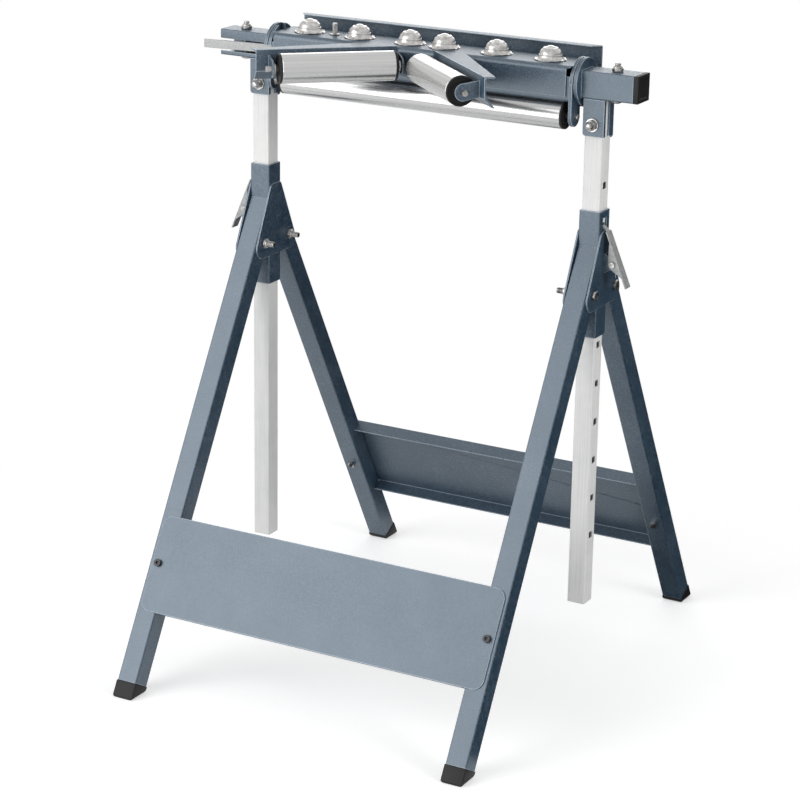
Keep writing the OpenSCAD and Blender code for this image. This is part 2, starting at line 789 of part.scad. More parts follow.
// Only the top of the plate reaches the end plates; its bent sides stop short of them
module ball_plate() {
    reach = head_disc_in - seat_gap;
    color(paint) framed() difference() {
        at_axis() translate([-reach, 0, beam_top]) rotate([90, 0, 90])
            linear_extrude(2 * reach) channel_2d(beam_w, beam_side, beam_t, beam_r);
        translate([-stud_at, 0, plate_z - over]) cylinder(d = stud_d + 2 * seat_gap, h = 2 * over);
        both_sides() translate([ball_plate_half, -beam_w, plate_z - beam_t - 2 * beam_side]) cube([over, 2 * beam_w, 2 * beam_side]);
    }
}

module beam_channel() {
    w = beam_w - 2 * beam_t - 2 * seat_gap;
    color(paint) framed() translate([-head_disc_in, 0, tray_z]) mirror([0, 0, 1])
        rotate([90, 0, 90]) linear_extrude(2 * head_disc_in) channel_2d(w, tray_h, beam_t, beam_r - beam_t);
}

module rest_plate() {
    cut = rest_chamfer * sqrt(2);
    color(paint) framed() difference() {
        at_axis() translate([-rest_half, rest_back, 0]) rotate([90, 0, 90]) linear_extrude(2 * rest_half)
            rotate(-90) channel_2d(rest_h, rest_lip, rest_t, rest_t * 2);
        at_axis() for (x = [-1, 1]) translate([x * rest_half, rest_back - rest_lip, 0]) rotate([0, 0, 45])
            cube([cut, cut, rest_h + over], center = true);
    }
}

// Disc with a tongue down to the long roller and a lobe back to the rest plate
module end_plate(s) {
    tongue_y = -long_roller_front;
    on_side(s) at_axis() difference() {
        translate([head_disc_in, 0, 0]) rotate([90, 0, 90]) linear_extrude(disc_t) {
            circle(d = disc_d);
            translate([tongue_y - tongue_w / 2, -long_roller_below]) square([tongue_w, long_roller_below]);
            translate([tongue_y, -long_roller_below]) circle(d = tongue_w);
            translate([0, -lobe_below]) square([rest_back - rest_t, lobe_h]);
        }
        rod_x(head_disc_in - over, head_disc_out + over, pivot_d + 2 * run_gap);
        translate([0, tongue_y, -long_roller_below]) rod_x(head_disc_in - over, head_disc_out + over, bolt_d + 2 * seat_gap);
        if (s < 0) {
            translate([head_disc_in - over, notch_mid - notch_w / 2, disc_d / 2 - notch_depth])
                cube([disc_t + 2 * over, notch_w, notch_depth + over]);
            translate([head_disc_in - over, -disc_d / 2 - over, notch_mid - notch_w / 2])
                cube([disc_t + 2 * over, notch_depth + over, notch_w]);
        }
    }
}

// Pressed housing with a round seat for the ball
module castor_housing() {
    r = [castor_flange_d / 2, castor_waist_d / 2, castor_shoulder_d / 2];
    mouth = castor_shoulder_d * castor_mouth_share;
    difference() {
        rotate_extrude() polygon([
            [0, 0], [r[0], 0], [r[0], castor_flange_t], [r[1] + castor_flange_t, castor_flange_t * 2],
            [(r[1] + r[2]) / 2, castor_h * castor_shares[0]], [r[2], castor_h * castor_shares[1]],
            [mouth + castor_flange_t, castor_h * castor_shares[2]], [mouth, castor_h], [0, castor_h]
        ]);
        translate([0, 0, ball_rise]) sphere(r = ball_d / 2 + side_gap / 2);
    }
}

module ball(i) {
    color(steel) framed() translate([castor_xs[i], 0, plate_z + ball_rise]) sphere(d = ball_d);
}

// Bracket of the right V roller, in the roller's frame
module v_bracket() {
    z0 = v_web_above - v_web_h;
    n1 = v_web_back + v_t;
    slant = v_lower_flange / sqrt(2);
    thick = v_t / sqrt(2);
    inner_end = -web_end - v_flange_in;
    translate([inner_end, v_web_back, z0]) cube([web_end - inner_end, v_t, v_web_h]);
    translate([0, 0, v_web_above - v_t]) linear_extrude(v_t)
        polygon([[inner_end, v_web_back], [web_end, v_web_back], [web_end + v_t, n1 + v_flange_out],
                 [-ear_out, n1 + v_flange_in], [inner_end, n1 + v_flange_in]]);
    translate([inner_end, 0, 0]) rotate([90, 0, 90]) linear_extrude(web_end - inner_end)
        polygon([[v_web_back, z0], [v_web_back + slant, z0 - slant], [v_web_back + slant + thick, z0 - slant + thick],
                 [n1, z0 + thick]]);
    for (u = [-ear_out, ear_out - v_t]) v_ear(u, z0);
}

module v_ear(u, z0) {
    difference() {
        translate([u, 0, 0]) rotate([90, 0, 90]) linear_extrude(v_t) hull() {
            circle(r = v_ear_r, $fn = 32);
            translate([v_web_back - v_t, z0]) square([2 * v_t, v_ear_h]);
        }
        rod_x(u - over, u + over, bolt_d + 2 * seat_gap);
    }
}

module v_bracket_at(s) {
    difference() {
        v_frame(s) v_bracket();
        translate([-far / 2, -beam_w / 2, 0]) cube([far, far, far]);
    }
}

module long_roller_frame() {
    at_axis() translate([0, -long_roller_front, -long_roller_below]) children();
}

module roller_axles() {
    long_end = head_disc_out + bolt_tail;
    color(zinc) framed() {
        long_roller_frame() rod_x(-long_end, long_end, bolt_d);
        for (s = [-1, 1]) v_frame(s) rod_x(-ear_out - side_gap, ear_out + v_axle_tail, bolt_d);
    }
}

module axle_nuts() {
    color(zinc) framed() {
        long_roller_frame() both_sides() translate([head_disc_in, 0, 0]) mirror([1, 0, 0]) nut_x(axle_nut_h);
        for (s = [-1, 1]) v_frame(s) both_sides() translate([ear_out - v_t, 0, 0]) mirror([1, 0, 0]) nut_x(axle_nut_h);
    }
}

// Tube of a roller along X
module roller_tube(d, half) {
    difference() {
        rod_x(-half, half, d);
        rod_x(-half - over, half + over, d - 2 * roller_wall);
    }
}

// Plastic cap at the +X end of a roller tube
module roller_cap(d, half) {
    difference() {
        union() {
            rod_x(half, half + roller_cap_len, d);
            rod_x(half - roller_cap_plug, half + roller_cap_len / 2, d - 2 * roller_wall - 2 * seat_gap);
        }
        rod_x(half - over, half + over, bolt_d + 2 * run_gap);
    }
}

// One module per node

module sleeve_left() { color(paint) framed() sleeve(-1); }
module sleeve_right() { color(paint) framed() sleeve(1); }
module cheek_plates_left() { color(paint) framed() cheek_plates(-1); }
module cheek_plates_right() { color(paint) framed() cheek_plates(1); }
module leg_pivot_bolts() { color(zinc) framed() at_leg_pivots() leg_pivot_bolt(); }
module leg_pivot_nuts() { color(zinc) framed() at_leg_pivots() leg_pivot_nut(); }
module latch_bracket_left() { color(paint) framed() on_side(-1) at_latch_pin() latch_bracket(); }
module latch_bracket_right() { color(paint) framed() at_latch_pin() latch_bracket(); }
module latch_pins() { color(zinc) framed() both_sides() at_latch_pin() latch_pin(); }
module latch_springs() { color(steel) framed() both_sides() at_latch_pin() latch_spring(); }
module latch_left() { color(steel) framed() on_side(-1) at_latch_pin() latch(); }
module latch_right() { color(steel) framed() at_latch_pin() latch(); }

module front_leg_left() { color(paint) framed() front_leg_frame() translate([-post_x, 0, 0]) leg(); }
module front_leg_right() { color(paint) framed() front_leg_frame() translate([post_x, 0, 0]) leg(); }
module front_feet() { color(plastic) framed() front_leg_frame() for (s = [-1, 1]) translate([s * post_x, 0, 0]) foot(); }
module front_panel() { color(paint) framed() front_leg_frame() panel(); }
module front_panel_screws() { color(plastic) framed() front_leg_frame() at_panel_screws() panel_screw(); }
module front_panel_nuts() { color(zinc) framed() front_leg_frame() at_panel_screws() panel_nut(); }

module rear_leg_left() { color(paint) framed() rear_leg_frame() translate([-post_x, 0, 0]) leg(); }
module rear_leg_right() { color(paint) framed() rear_leg_frame() translate([post_x, 0, 0]) leg(); }
module rear_feet() { color(plastic) framed() rear_leg_frame() for (s = [-1, 1]) translate([s * post_x, 0, 0]) foot(); }
module rear_panel() { color(paint) framed() rear_leg_frame() panel(); }
module rear_panel_screws() { color(plastic) framed() rear_leg_frame() at_panel_screws() panel_screw(); }
module rear_panel_nuts() { color(zinc) framed() rear_leg_frame() at_panel_screws() panel_nut(); }

module post_left() { color(steel) framed() post(-1); }
module post_right() { color(steel) framed() post(1); }
module arm_right() { color(paint) framed() arm(arm_right_end, arm_bolt_at); }
module front_brackets() { color(paint) framed() for (x = [-post_x, post_x]) translate([x, 0, 0]) front_bracket(); }
module rear_brackets() { color(paint) framed() for (x = [-post_x, post_x]) translate([x, 0, 0]) rear_bracket(); }
module post_bolts() { color(zinc) framed() both_sides() post_bolt(); }
module post_washers() { color(zinc) framed() both_sides() post_washer(); }
module arm_bolts() { color(zinc) framed() at_arm_bolts() arm_bolt(); }

module post_and_arm_nuts() {
    color(zinc) framed() {
        both_sides() translate([post_x, -arm_w / 2 - washer_t, bracket_bolt_h]) rotate([0, 0, -90]) nut_x(nut_h);
        at_arm_bolts() translate([0, 0, arm_w]) rotate([0, -90, 0]) nut_x(nut_h);
    }
}

module arm_end_cap() {
    inner = arm_w - 2 * arm_wall - 2 * seat_gap;
    color(plastic) framed() at_axis() {
        translate([arm_right_end, 0, 0]) rotate([90, 0, 90]) linear_extrude(arm_cap_len) round_rect(arm_w, arm_w, tube_r);
        translate([arm_right_end - arm_cap_plug, -inner / 2, -inner / 2]) cube([arm_cap_plug + arm_cap_len / 2, inner, inner]);
    }
}

module pivot_pins() { color(zinc) framed() both_sides() pivot_pin(); }
module end_plate_left() { color(paint) framed() end_plate(-1); }
module end_plate_right() { color(paint) framed() end_plate(1); }
module castor_housings() { color(zinc) framed() for (x = castor_xs) translate([x, 0, plate_z]) castor_housing(); }
module v_bracket_left() { color(paint) framed() v_bracket_at(-1); }
module v_bracket_right() { color(paint) framed() v_bracket_at(1); }

module plate_stud() {
    color(zinc) framed() translate([-stud_at, 0, plate_z]) {
        translate([0, 0, -2 * beam_t]) cylinder(d = stud_d, h = stud_h + 2 * beam_t);
        cylinder(d = 2 * stud_d, h = washer_t);
        translate([0, 0, -2 * beam_t]) cylinder(d = 2 * stud_d, h = beam_t);
    }
}

// Upright strip in front of the left arm, bent in through the arm's slot to the bolt that it turns on
module index_lever() {
    half = 2 * bolt_d;
    inner = (lever_bolt_at - disc_at - side_gap - lever_front * sin(lever_turn)) / cos(lever_turn);
    outer = (lever_end - lever_bolt_at + (lever_front - lever_t) * sin(lever_turn)) / cos(lever_turn);
    color(steel) framed() translate([-lever_bolt_at, 0, lever_z]) rotate([0, 0, lever_turn]) difference() {
        union() {
            translate([-outer, -lever_front, 0]) cube([outer + inner, lever_t, lever_h]);
            translate([-half, -lever_front, 0]) cube([2 * half, lever_front + bolt_d, lever_t]);
        }
        translate([0, 0, -over]) cylinder(d = bolt_d + 2 * run_gap, h = 2 * over);
    }
}

module long_roller() {
    color(steel) framed() long_roller_frame() translate([long_roller_shift, 0, 0]) roller_tube(long_roller_d, long_roller_half);
}

module long_roller_caps() {
    color(plastic) framed() long_roller_frame() translate([long_roller_shift, 0, 0])
        both_sides() roller_cap(long_roller_d, long_roller_half);
}

module v_roller(s) { color(steel) framed() v_frame(s) roller_tube(v_roller_d, v_tube_half); }
module v_roller_caps(s) { color(plastic) framed() v_frame(s) both_sides() roller_cap(v_roller_d, v_tube_half); }

module v_roller_left() { v_roller(-1); }
module v_roller_right() { v_roller(1); }
module v_roller_caps_left() { v_roller_caps(-1); }
module v_roller_caps_right() { v_roller_caps(1); }
module ball_1() { ball(0); }
module ball_2() { ball(1); }
module ball_3() { ball(2); }
module ball_4() { ball(3); }
module ball_5() { ball(4); }
module ball_6() { ball(5); }

sleeve_left();
sleeve_right();
cheek_plates_left();
cheek_plates_right();
leg_pivot_bolts();
leg_pivot_nuts();
latch_bracket_left();
latch_bracket_right();
latch_pins();
latch_springs();
front_leg_left();
front_leg_right();
front_panel();
front_feet();
front_panel_screws();
front_panel_nuts();
rear_leg_left();
rear_leg_right();
rear_panel();
rear_feet();
rear_panel_screws();
rear_panel_nuts();
post_left();
post_right();
arm_left();
arm_right();
front_brackets();
rear_brackets();
post_bolts();
post_washers();
arm_bolts();
post_and_arm_nuts();
arm_end_cap();
pivot_pins();
ball_plate();
beam_channel();
rest_plate();
end_plate_left();
end_plate_right();
castor_housings();
v_bracket_left();
v_bracket_right();
roller_axles();
axle_nuts();
plate_stud();
latch_left();
latch_right();
index_lever();
long_roller();
long_roller_caps();
v_roller_left();
v_roller_right();
v_roller_caps_left();
v_roller_caps_right();
ball_1();
ball_2();
ball_3();
ball_4();
ball_5();
ball_6();
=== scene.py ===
# %% [markdown]
# # Dressing a roller stand
# The stand's real shapes come from its CAD model, which is loaded here as a fixed frame.
# This lesson dresses it: softened edges, turned and pressed small parts, and a finish for each
# material, under plain studio light. Nothing is moved, so every piece stays where the drawing has it.

# %% Load the frame
import json
import math

import bpy
from mathutils import Matrix, Vector


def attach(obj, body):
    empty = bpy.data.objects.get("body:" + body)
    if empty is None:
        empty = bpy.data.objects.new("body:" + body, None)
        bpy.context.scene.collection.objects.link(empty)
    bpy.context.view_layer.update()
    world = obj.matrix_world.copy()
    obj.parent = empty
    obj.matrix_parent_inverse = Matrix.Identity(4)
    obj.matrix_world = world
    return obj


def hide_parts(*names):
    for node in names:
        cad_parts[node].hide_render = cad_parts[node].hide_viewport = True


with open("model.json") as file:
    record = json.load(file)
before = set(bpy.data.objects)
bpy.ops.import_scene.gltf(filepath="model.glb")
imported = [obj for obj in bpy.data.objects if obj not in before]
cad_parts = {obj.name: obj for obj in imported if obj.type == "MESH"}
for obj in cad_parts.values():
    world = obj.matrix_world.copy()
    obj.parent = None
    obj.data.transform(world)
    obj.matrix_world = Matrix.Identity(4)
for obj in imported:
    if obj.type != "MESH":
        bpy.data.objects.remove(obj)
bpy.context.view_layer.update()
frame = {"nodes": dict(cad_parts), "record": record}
nodes = frame["nodes"]
body_of = {node: body for body, names in frame["record"]["behaviour"]["bodies"].items() for node in names}

# %% [markdown]
# The drawing is in millimetres and Blender works in metres. These are the drawing's own sizes
# that several of the dressed pieces need. Those that only one kind of piece needs come with it.

# %% Sizes from the drawing
MM = 0.001
# How far the stand's middle lies to the right of the frame's origin
SHIFT = 9.5 * MM
# The posts' distance from the stand's middle
POST_X = 254
# The arms' square tube: its width and the height of its underside
ARM_W, ARM_FOOT = 36, 825.6
# Heights of the axis that the head turns about and of the ball plate's top
AXIS_H, PLATE_H = 843.6, 867.5
# The leg pivots: how far in front of and behind the posts' middle, and how high
PIVOT_Y, PIVOT_H = 32.7, 569.0


def at(x, y, z):
    """A place in the drawing's millimetres, with the middle of the stand at x = 0."""
    return Vector((x * MM + SHIFT, y * MM, z * MM))


def facing(direction, x, y, z):
    """Puts a piece that was made along +Z at a place, with its +Z end turned to face a direction."""
    turn = {"+x": (90, "Y"), "-x": (-90, "Y"), "-y": (90, "X"), "+z": (0, "X")}
    degrees, axis = turn[direction]
    return Matrix.Translation(at(x, y, z)) @ Matrix.Rotation(math.radians(degrees), 4, axis)


print("the head turns about", [round(v, 4) for v in at(0, 0, AXIS_H)])

# %% [markdown]
# Blender's operators act on whatever is selected, so each step first selects just its own piece.
# These helpers do that, finish a piece by putting its place into its mesh, smooth it, join several
# into one, and set out copies of a pattern.

# %% Selecting, placing and copying pieces
def only(piece):
    """Selects one piece and makes it the active one."""
    if bpy.context.object and bpy.context.object.mode != "OBJECT":
        bpy.ops.object.mode_set(mode="OBJECT")
    bpy.ops.object.select_all(action="DESELECT")
    piece.select_set(True)
    bpy.context.view_layer.objects.active = piece
    return piece


def settle(piece, matrix=None):
    """Moves a piece by matrix, then leaves its object at the origin with its place in the mesh."""
    only(piece)
    if matrix is not None:
        piece.matrix_world = matrix @ piece.matrix_world
    bpy.ops.object.transform_apply(location=True, rotation=True, scale=True)
    return piece


def smooth(piece, degrees=32):
    """Smooth shading, but for edges that turn more than this."""
    only(piece)
    bpy.ops.object.shade_smooth_by_angle(angle=math.radians(degrees))
    return piece


def joined(name, *pieces):
    """Makes one piece of several."""
    only(pieces[0])
    for piece in pieces[1:]:
        piece.select_set(True)
    bpy.ops.object.join()
    pieces[0].name = name
    return pieces[0]


def copies(pattern, name, places):
    """A copy of the pattern at every place, each with its own mesh; the pattern is then removed."""
    made = []
    for number, place in enumerate(places, 1):
        twin = bpy.data.objects.new(f"{name}_{number}", pattern.data.copy())
        bpy.context.collection.objects.link(twin)
        made.append(settle(twin, place))
    bpy.data.objects.remove(pattern)
    return made


print("helpers ready")

# %% [markdown]
# ## Finishes
# A finish is a small graph of shader nodes: a pattern, a ramp that turns it into a colour or a gloss,
# and the surface shader. The patterns are worked out in Object coordinates, in metres, so a noise
# scale of 500 gives a grain of about 2 mm, and no picture is needed.

# %% Small helpers for shader nodes
def new_material(name):
    """A new material, with its nodes, its links and its surface shader."""
    mat = bpy.data.materials.new(name)
    mat.use_nodes = True
    return mat, mat.node_tree.nodes, mat.node_tree.links, mat.node_tree.nodes["Principled BSDF"]


def noise(graph, links, scale, detail=3.0, roughness=0.55, stretch=(1, 1, 1)):
    """A noise pattern on Object coordinates; a small stretch value draws it out along that axis."""
    coord = graph.new("ShaderNodeTexCoord")
    mapping = graph.new("ShaderNodeMapping")
    mapping.inputs["Scale"].default_value = stretch
    tex = graph.new("ShaderNodeTexNoise")
    tex.inputs["Scale"].default_value = scale
    tex.inputs["Detail"].default_value = detail
    tex.inputs["Roughness"].default_value = roughness
    links.new(coord.outputs["Object"], mapping.inputs["Vector"])
    links.new(mapping.outputs["Vector"], tex.inputs["Vector"])
    return tex.outputs["Fac"]


def blend(graph, links, first, second, share):
    """Mixes two patterns; share is how much of the second comes through."""
    node = graph.new("ShaderNodeMix")
    node.data_type = "FLOAT"
    node.inputs[0].default_value = share
    links.new(first, node.inputs[2])
    links.new(second, node.inputs[3])
    return node.outputs[0]


def maths(graph, links, operation, *values):
    """A Math node; each value is a number or the output of another node."""
    node = graph.new("ShaderNodeMath")
    node.operation = operation
    for socket, value in zip(node.inputs, values):
        if isinstance(value, float):
            socket.default_value = value
        else:
            links.new(value, socket)
    return node.outputs[0]


def feed(graph, links, value, stops, socket):
    """Feeds a socket through a ramp of (position, colour) stops; a number stands for a grey."""
    node = graph.new("ShaderNodeValToRGB")
    while len(node.color_ramp.elements) < len(stops):
        node.color_ramp.elements.new(0.5)
    for element, (place, colour) in zip(node.color_ramp.elements, stops):
        element.position = place
        element.color = (*colour, 1) if isinstance(colour, tuple) else (colour, colour, colour, 1)
    links.new(value, node.inputs["Fac"])
    links.new(node.outputs["Color"], socket)


def bump(graph, links, shader, height, strength, distance):
    """Raises the surface by a pattern, in shading only."""
    node = graph.new("ShaderNodeBump")
    node.inputs["Strength"].default_value = strength
    node.inputs["Distance"].default_value = distance
    links.new(height, node.inputs["Height"])
    links.new(node.outputs["Normal"], shader.inputs["Normal"])


print("shader helpers ready")

# %% [markdown]
# The stand's blue-grey is a hammered powder coat: a deep navy skin under a hard, pebbled gloss. Where
# it faces a light it looks pale grey-blue, and where it faces something dark it falls back to navy,
# so the grey is left to the gloss and the base colour is kept dark. The grain is in the colour, the
# gloss and the bumps. The edges get a second, paler and glossier colour. This is a painted highlight:
# a thin light line that stands in for the light that rounded edges catch.

# %% Blue-grey powder coat
def make_paint():
    mat, graph, links, shader = new_material("blue_grey_powder_coat")
    grain = noise(graph, links, 430, 2.5, 0.65)
    fine = noise(graph, links, 1100, 1.0, 0.5)
    cloud = noise(graph, links, 16, 3.0)
    tone = blend(graph, links, grain, cloud, 0.2)
    navy = [(0.37, (0.006, 0.021, 0.042)), (0.5, (0.013, 0.036, 0.064)), (0.63, (0.070, 0.100, 0.132))]
    feed(graph, links, tone, navy, shader.inputs["Base Color"])
    feed(graph, links, grain, [(0.3, 0.36), (0.7, 0.54)], shader.inputs["Roughness"])
    shader.inputs["Metallic"].default_value = 0.0
    shader.inputs["IOR"].default_value = 2.0
    shader.inputs["Specular Tint"].default_value = (0.84, 0.93, 1.0, 1)
    height = maths(graph, links, "MULTIPLY_ADD", fine, 0.35, grain)
    bump(graph, links, shader, height, 0.5, 0.00028)
    return mat


# The edges' colour is a painted highlight: it is paler than the coat, so it draws the thin light lines that
# rounded edges catch.
def make_painted_edge_highlight():
    mat, graph, links, shader = new_material("blue_grey_painted_edge_highlight")
    grain = noise(graph, links, 500, 2.0)
    pale_blue = [(0.3, (0.2, 0.25, 0.3)), (0.7, (0.34, 0.4, 0.46))]
    feed(graph, links, grain, pale_blue, shader.inputs["Base Color"])
    feed(graph, links, grain, [(0.3, 0.25), (0.7, 0.4)], shader.inputs["Roughness"])
    shader.inputs["Metallic"].default_value = 0.3
    return mat


paint, painted_edge_highlight = make_paint(), make_painted_edge_highlight()
print("made", paint.name, "and", painted_edge_highlight.name)

# %% [markdown]
# The posts are square tube with a satin silver skin. Drawing the tube through its die leaves faint
# lines along it, so the noise is drawn out along Z. Zinc plating on the fasteners is a little warmer
# and cloudy. The rollers are bright steel with fine lines along them, so the noise is first turned
# to each roller's own direction and then drawn out.

# %% Silver posts, zinc and roller steel
def make_silver():
    mat, graph, links, shader = new_material("satin_silver_tube")
    lines = noise(graph, links, 700, 2.0, 0.5, (1, 1, 0.012))
    cloud = noise(graph, links, 30, 4.0, 0.6)
    tone = blend(graph, links, lines, cloud, 0.35)
    silvers = [(0.32, (0.58, 0.585, 0.59)), (0.5, (0.67, 0.67, 0.665)), (0.68, (0.73, 0.73, 0.72))]
    feed(graph, links, tone, silvers, shader.inputs["Base Color"])
    feed(graph, links, lines, [(0.3, 0.32), (0.7, 0.5)], shader.inputs["Roughness"])
    shader.inputs["Metallic"].default_value = 0.05
    bump(graph, links, shader, lines, 0.2, 0.00012)
    return mat


def make_zinc(name, low, high):
    mat, graph, links, shader = new_material(name)
    cloud = noise(graph, links, 160, 4.0, 0.65)
    feed(graph, links, cloud, [(0.32, low), (0.68, high)], shader.inputs["Base Color"])
    feed(graph, links, cloud, [(0.3, 0.22), (0.7, 0.4)], shader.inputs["Roughness"])
    shader.inputs["Metallic"].default_value = 0.95
    bump(graph, links, shader, noise(graph, links, 1500, 1.0), 0.15, 0.00006)
    return mat


def make_ground(name, angle):
    """Roller steel with lines along the roller, whose axis is turned by angle from X."""
    mat, graph, links, shader = new_material(name)
    coord = graph.new("ShaderNodeTexCoord")
    turn = graph.new("ShaderNodeMapping")
    turn.inputs["Rotation"].default_value = (0, 0, angle)
    draw_out = graph.new("ShaderNodeMapping")
    draw_out.inputs["Scale"].default_value = (0.006, 1, 1)
    tex = graph.new("ShaderNodeTexNoise")
    tex.inputs["Scale"].default_value = 260
    tex.inputs["Detail"].default_value = 3
    links.new(coord.outputs["Object"], turn.inputs["Vector"])
    links.new(turn.outputs["Vector"], draw_out.inputs["Vector"])
    links.new(draw_out.outputs["Vector"], tex.inputs["Vector"])
    lines = tex.outputs["Fac"]
    steels = [(0.3, (0.46, 0.46, 0.46)), (0.7, (0.6, 0.6, 0.595))]
    feed(graph, links, lines, steels, shader.inputs["Base Color"])
    feed(graph, links, lines, [(0.3, 0.2), (0.7, 0.34)], shader.inputs["Roughness"])
    shader.inputs["Metallic"].default_value = 0.9
    bump(graph, links, shader, lines, 0.06, 0.0001)
    return mat


# How far each V roller is turned from the stand's width
V_ANGLE = math.radians(42)
silver = make_silver()
zinc = make_zinc("zinc_plate", (0.24, 0.235, 0.225), (0.56, 0.55, 0.54))
castor_zinc = make_zinc("pressed_castor_steel", (0.34, 0.33, 0.32), (0.66, 0.645, 0.63))
ground = make_ground("ground_roller_steel", 0)
ground_left = make_ground("ground_roller_steel_left", -V_ANGLE)
ground_right = make_ground("ground_roller_steel_right", V_ANGLE)
print("made", [m.name for m in (silver, zinc, castor_zinc, ground, ground_left, ground_right)])

# %% [markdown]
# The other finishes are plainer: one noise pattern makes the colour and the gloss waver a little and
# gives fine bumps. Polished balls are nearly mirrors, black plastic is matt with a weak sheen, and the
# levers are plated sheet, which is duller than the plated bolts.

# %% Plated sheet, polished balls, black plastic and black screws
def make_plain(name, colour, rough, metallic, grain_scale, grain_strength):
    mat, graph, links, shader = new_material(name)
    grain = noise(graph, links, grain_scale, 3.0)
    low = tuple(c * 0.8 for c in colour)
    high = tuple(min(1, c * 1.2) for c in colour)
    feed(graph, links, grain, [(0.3, low), (0.7, high)], shader.inputs["Base Color"])
    feed(graph, links, grain, [(0.3, rough * 0.85), (0.7, min(1, rough * 1.2))], shader.inputs["Roughness"])
    shader.inputs["Metallic"].default_value = metallic
    bump(graph, links, shader, grain, grain_strength, 0.0001)
    return mat


sheet_zinc = make_plain("zinc_plated_sheet", (0.32, 0.325, 0.325), 0.42, 0.3, 240, 0.1)
polished = make_plain("polished_ball", (0.62, 0.615, 0.61), 0.12, 1.0, 300, 0.02)
black = make_plain("black_plastic", (0.009, 0.009, 0.0095), 0.55, 0.0, 900, 0.25)
black.node_tree.nodes["Principled BSDF"].inputs["Specular IOR Level"].default_value = 0.3
black_steel = make_plain("black_oxide_steel", (0.035, 0.035, 0.038), 0.36, 0.6, 600, 0.1)
print("made", [m.name for m in (sheet_zinc, polished, black, black_steel)])

# %% [markdown]
# Each CAD node is given its finish first, so that nothing can be left plain. The pieces made
# below take theirs from the same list, or the one named for their place.

# %% Finish for every node
slot_of = {p["node"]: p["material_slot"] for p in frame["record"]["subparts"]}
by_slot = {"paint": paint, "post_steel": silver, "zinc": zinc, "roller_steel": ground,
           "ball_steel": polished, "black_plastic": black}
finish_of = {node: by_slot[slot_of[node]] for node in nodes}
finish_of.update({"castor_housings": castor_zinc, "v_roller_left": ground_left,
                  "v_roller_right": ground_right, "front_panel_screws": black_steel,
                  "rear_panel_screws": black_steel, "index_lever": sheet_zinc,
                  "latch_left": sheet_zinc, "latch_right": sheet_zinc})


def dress(piece, material):
    """Gives a piece one material and takes its others away."""
    piece.data.materials.clear()
    piece.data.materials.append(material)
    return piece


for node, piece in nodes.items():
    dress(piece, finish_of[node])
    smooth(piece)
print("gave a finish to", len(nodes), "nodes")

# %% [markdown]
# ## Softened edges
# Real sheet and tube has no knife edges: bends have a radius and the paint rounds every cut edge.
# A copy of each such node is merged, its flat faces are cleaned, and a small bevel is put on
# every edge that turns more than 30 degrees. Where the piece is painted, the bevel's faces take the
# paler edge colour, a painted highlight along each edge. The copy then stands for the node.

# %% Softening a copy of a node
def stand_for(piece, node):
    """The piece rides on the node's body and stands for the node."""
    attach(piece, body_of[node])
    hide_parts(node)
    return piece


def softened(node, width, segments=2):
    """A merged copy of a CAD node with rounded edges, which stands for the node."""
    piece = bpy.data.objects.new(node + "_dressed", nodes[node].data.copy())
    dress(piece, finish_of[node])
    bpy.context.collection.objects.link(piece)
    only(piece)
    bpy.ops.mesh.customdata_custom_splitnormals_clear()
    bpy.ops.object.mode_set(mode="EDIT")
    bpy.ops.mesh.select_all(action="SELECT")
    bpy.ops.mesh.remove_doubles(threshold=0.000002)
    bpy.ops.mesh.dissolve_limited(angle_limit=math.radians(1.0))
    bpy.ops.mesh.select_all(action="DESELECT")
    bpy.ops.object.mode_set(mode="OBJECT")
    painted = finish_of[node] == paint
    soft = piece.modifiers.new("soft_edges", "BEVEL")
    soft.width = width * MM
    soft.segments = segments
    soft.limit_method = "ANGLE"
    soft.angle_limit = math.radians(30)
    soft.use_clamp_overlap = False
    soft.miter_outer = "MITER_ARC"
    # Painted pieces give their bevel faces the paler edge colour, a painted highlight.
    soft.material = 1 if painted else 0
    if painted:
        piece.data.materials.append(painted_edge_highlight)
    bpy.ops.object.modifier_apply(modifier=soft.name)
    smooth(piece, 40)
    even = piece.modifiers.new("even_shading", "WEIGHTED_NORMAL")
    even.keep_sharp = True
    bpy.ops.object.modifier_apply(modifier=even.name)
    return stand_for(piece, node)


print("softening ready")

# %% [markdown]
# Each width is in millimetres and follows the sheet or tube. The two posts are left out: they already
# have rounded corners in the drawing, and a bevel run round their height holes pulls thin dark lines
# across the flat face.

# %% Tubes, plates and folded sheet
for side in ("left", "right"):
    softened("sleeve_" + side, 0.6)
    softened("cheek_plates_" + side, 0.7)
    softened("latch_bracket_" + side, 0.35)
    softened("latch_" + side, 0.5)
    softened("arm_" + side, 0.7)
    softened("end_plate_" + side, 0.9)
    softened("v_bracket_" + side, 0.7)
    for end in ("front", "rear"):
        softened(f"{end}_leg_{side}", 0.6)
for node, width in (("front_panel", 0.8), ("rear_panel", 0.8), ("front_brackets", 0.7),
                    ("rear_brackets", 0.7), ("beam_channel", 0.6), ("ball_plate", 0.6),
                    ("rest_plate", 0.8), ("index_lever", 0.7)):
    softened(node, width)
softened("front_panel_screws", 0.5, 3)
softened("rear_panel_screws", 0.5, 3)
softened("pivot_pins", 0.6)
softened("latch_pins", 0.6, 3)
softened("post_washers", 0.4)
softened("roller_axles", 0.8, 3)
print("softened the sheet and tube pieces")

# %% [markdown]
# ## Turned and pressed pieces
# Bolts, nuts, roller caps and castor housings are all round about one axis. By hand, such a form is
# made from a disc that is extruded and resized from ring to ring, as a lathe takes a bar down step by
# step. With six sides instead of many, the same steps give a hexagon with its corners chamfered.

